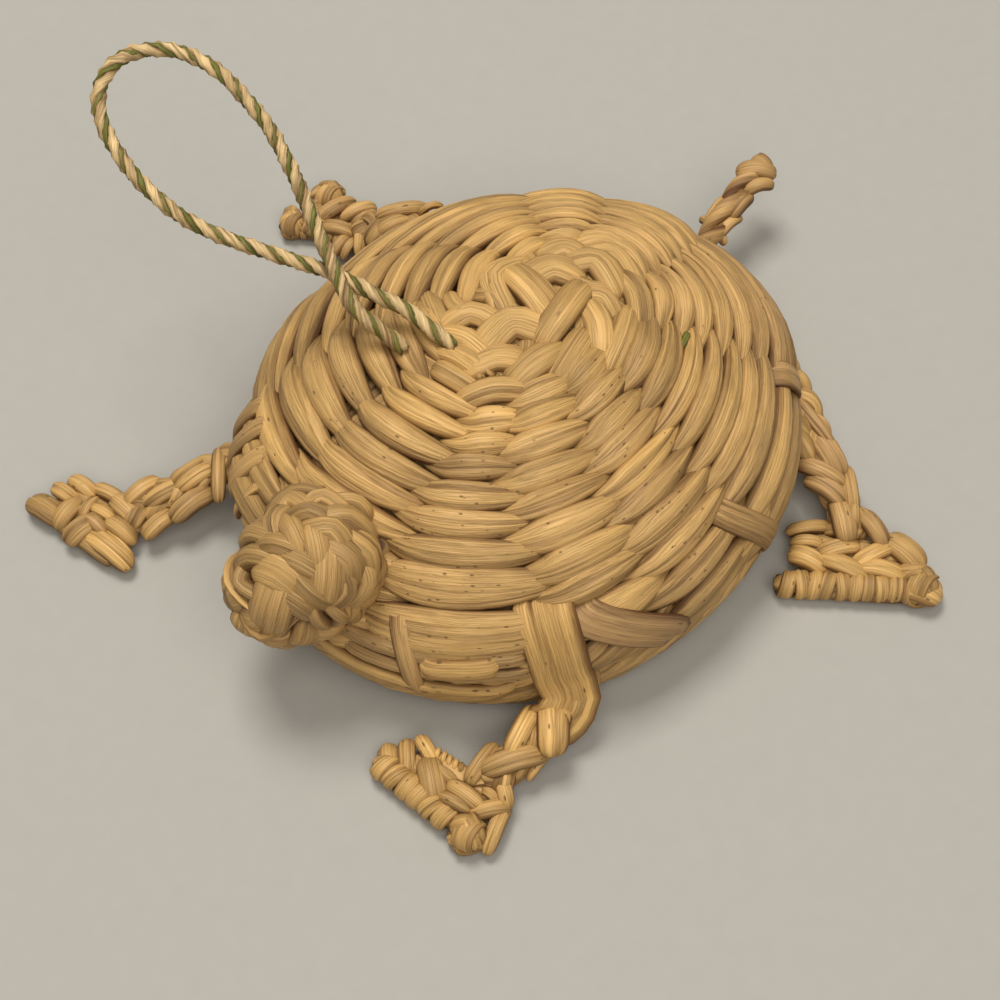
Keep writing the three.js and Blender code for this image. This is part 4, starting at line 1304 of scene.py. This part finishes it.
class STRAW_OT_stage(StrawOperator):
    """Set up the floor, the lights and the camera"""

    bl_idname = "straw.stage"
    bl_label = "Stage"

    def floor(self, tint):
        """A plain pale floor with a faint grain."""
        bpy.ops.object.select_all(action="DESELECT")
        bpy.ops.mesh.primitive_plane_add(size=6)
        floor = bpy.context.object
        floor.name = "floor"
        finish = Finish("pale_floor")
        place = finish.node("ShaderNodeTexCoord", {}, out=3)
        grain = finish.node("ShaderNodeTexNoise", {}, Vector=place, Scale=300.0, Detail=2.0)
        dark, pale = (solid(value * part for value in tint) for part in (0.97, 1.03))
        colour = finish.mix(grain, dark, pale)
        floor.data.materials.append(finish.surface(Base_Color=colour, Roughness=0.75))

    def lamp(self, name, place, size, power, colour):
        """A soft square light at a place, turned to the ornament."""
        bpy.ops.object.light_add(type="AREA", location=place)
        lamp = bpy.context.object
        lamp.name = name
        lamp.data.shape = "SQUARE"
        lamp.data.size = size
        lamp.data.energy = power
        lamp.data.color = colour
        lamp.rotation_euler = (-Vector(place)).to_track_quat("-Z", "Y").to_euler()

    def execute(self, context):
        self.floor(context.scene.straw.floor)
        world = bpy.data.worlds.new("soft_room")
        world.use_nodes = True
        background = world.node_tree.nodes["Background"]
        background.inputs[0].default_value = ROOM_COLOUR
        background.inputs[1].default_value = ROOM_LIGHT
        context.scene.world = world
        for name, lamp in LAMPS.items():
            self.lamp(name, **lamp)
        bpy.ops.object.camera_add(location=np.array(CAMERA_PLACE) * MM + AXIS)
        camera = bpy.context.object
        camera.rotation_euler = Vector(CAMERA_AIM).to_track_quat("-Z", "Y").to_euler()
        camera.data.lens = CAMERA_LENS
        camera.data.sensor_width = 36
        camera.data.clip_start = 0.01
        context.scene.camera = camera
        context.scene.view_settings.view_transform = "Standard"
        return {"FINISHED"}


# ---------------------------------------------------------------- panel and main


OPERATORS = [
    STRAW_OT_shell,
    STRAW_OT_belly,
    STRAW_OT_head,
    STRAW_OT_legs,
    STRAW_OT_feet,
    STRAW_OT_tail,
    STRAW_OT_straps,
    STRAW_OT_cord,
    STRAW_OT_stage,
]


class STRAW_PT_panel(bpy.types.Panel):
    """The settings and the steps, in the order they are run"""

    bl_idname = "STRAW_PT_panel"
    bl_label = "Straw Ornament"
    bl_space_type = "VIEW_3D"
    bl_region_type = "UI"
    bl_category = "Straw"

    def draw(self, context):
        for name in StrawSettings.__annotations__:
            self.layout.prop(context.scene.straw, name)
        for operator in OPERATORS:
            self.layout.operator(operator.bl_idname)


def register():
    for entry in (StrawSettings, *OPERATORS, STRAW_PT_panel):
        bpy.utils.register_class(entry)
    bpy.types.Scene.straw = bpy.props.PointerProperty(type=StrawSettings)


def unregister():
    del bpy.types.Scene.straw
    for entry in reversed((StrawSettings, *OPERATORS, STRAW_PT_panel)):
        bpy.utils.unregister_class(entry)


def main():
    register()
    bpy.ops.straw.shell()
    bpy.ops.straw.belly()
    bpy.ops.straw.head()
    bpy.ops.straw.legs()
    bpy.ops.straw.feet()
    bpy.ops.straw.tail()
    bpy.ops.straw.straps()
    bpy.ops.straw.cord()
    bpy.ops.straw.stage()
    for kind in BLADES.values():
        bpy.data.objects.remove(kind.object)


if __name__ == "__main__":
    main()
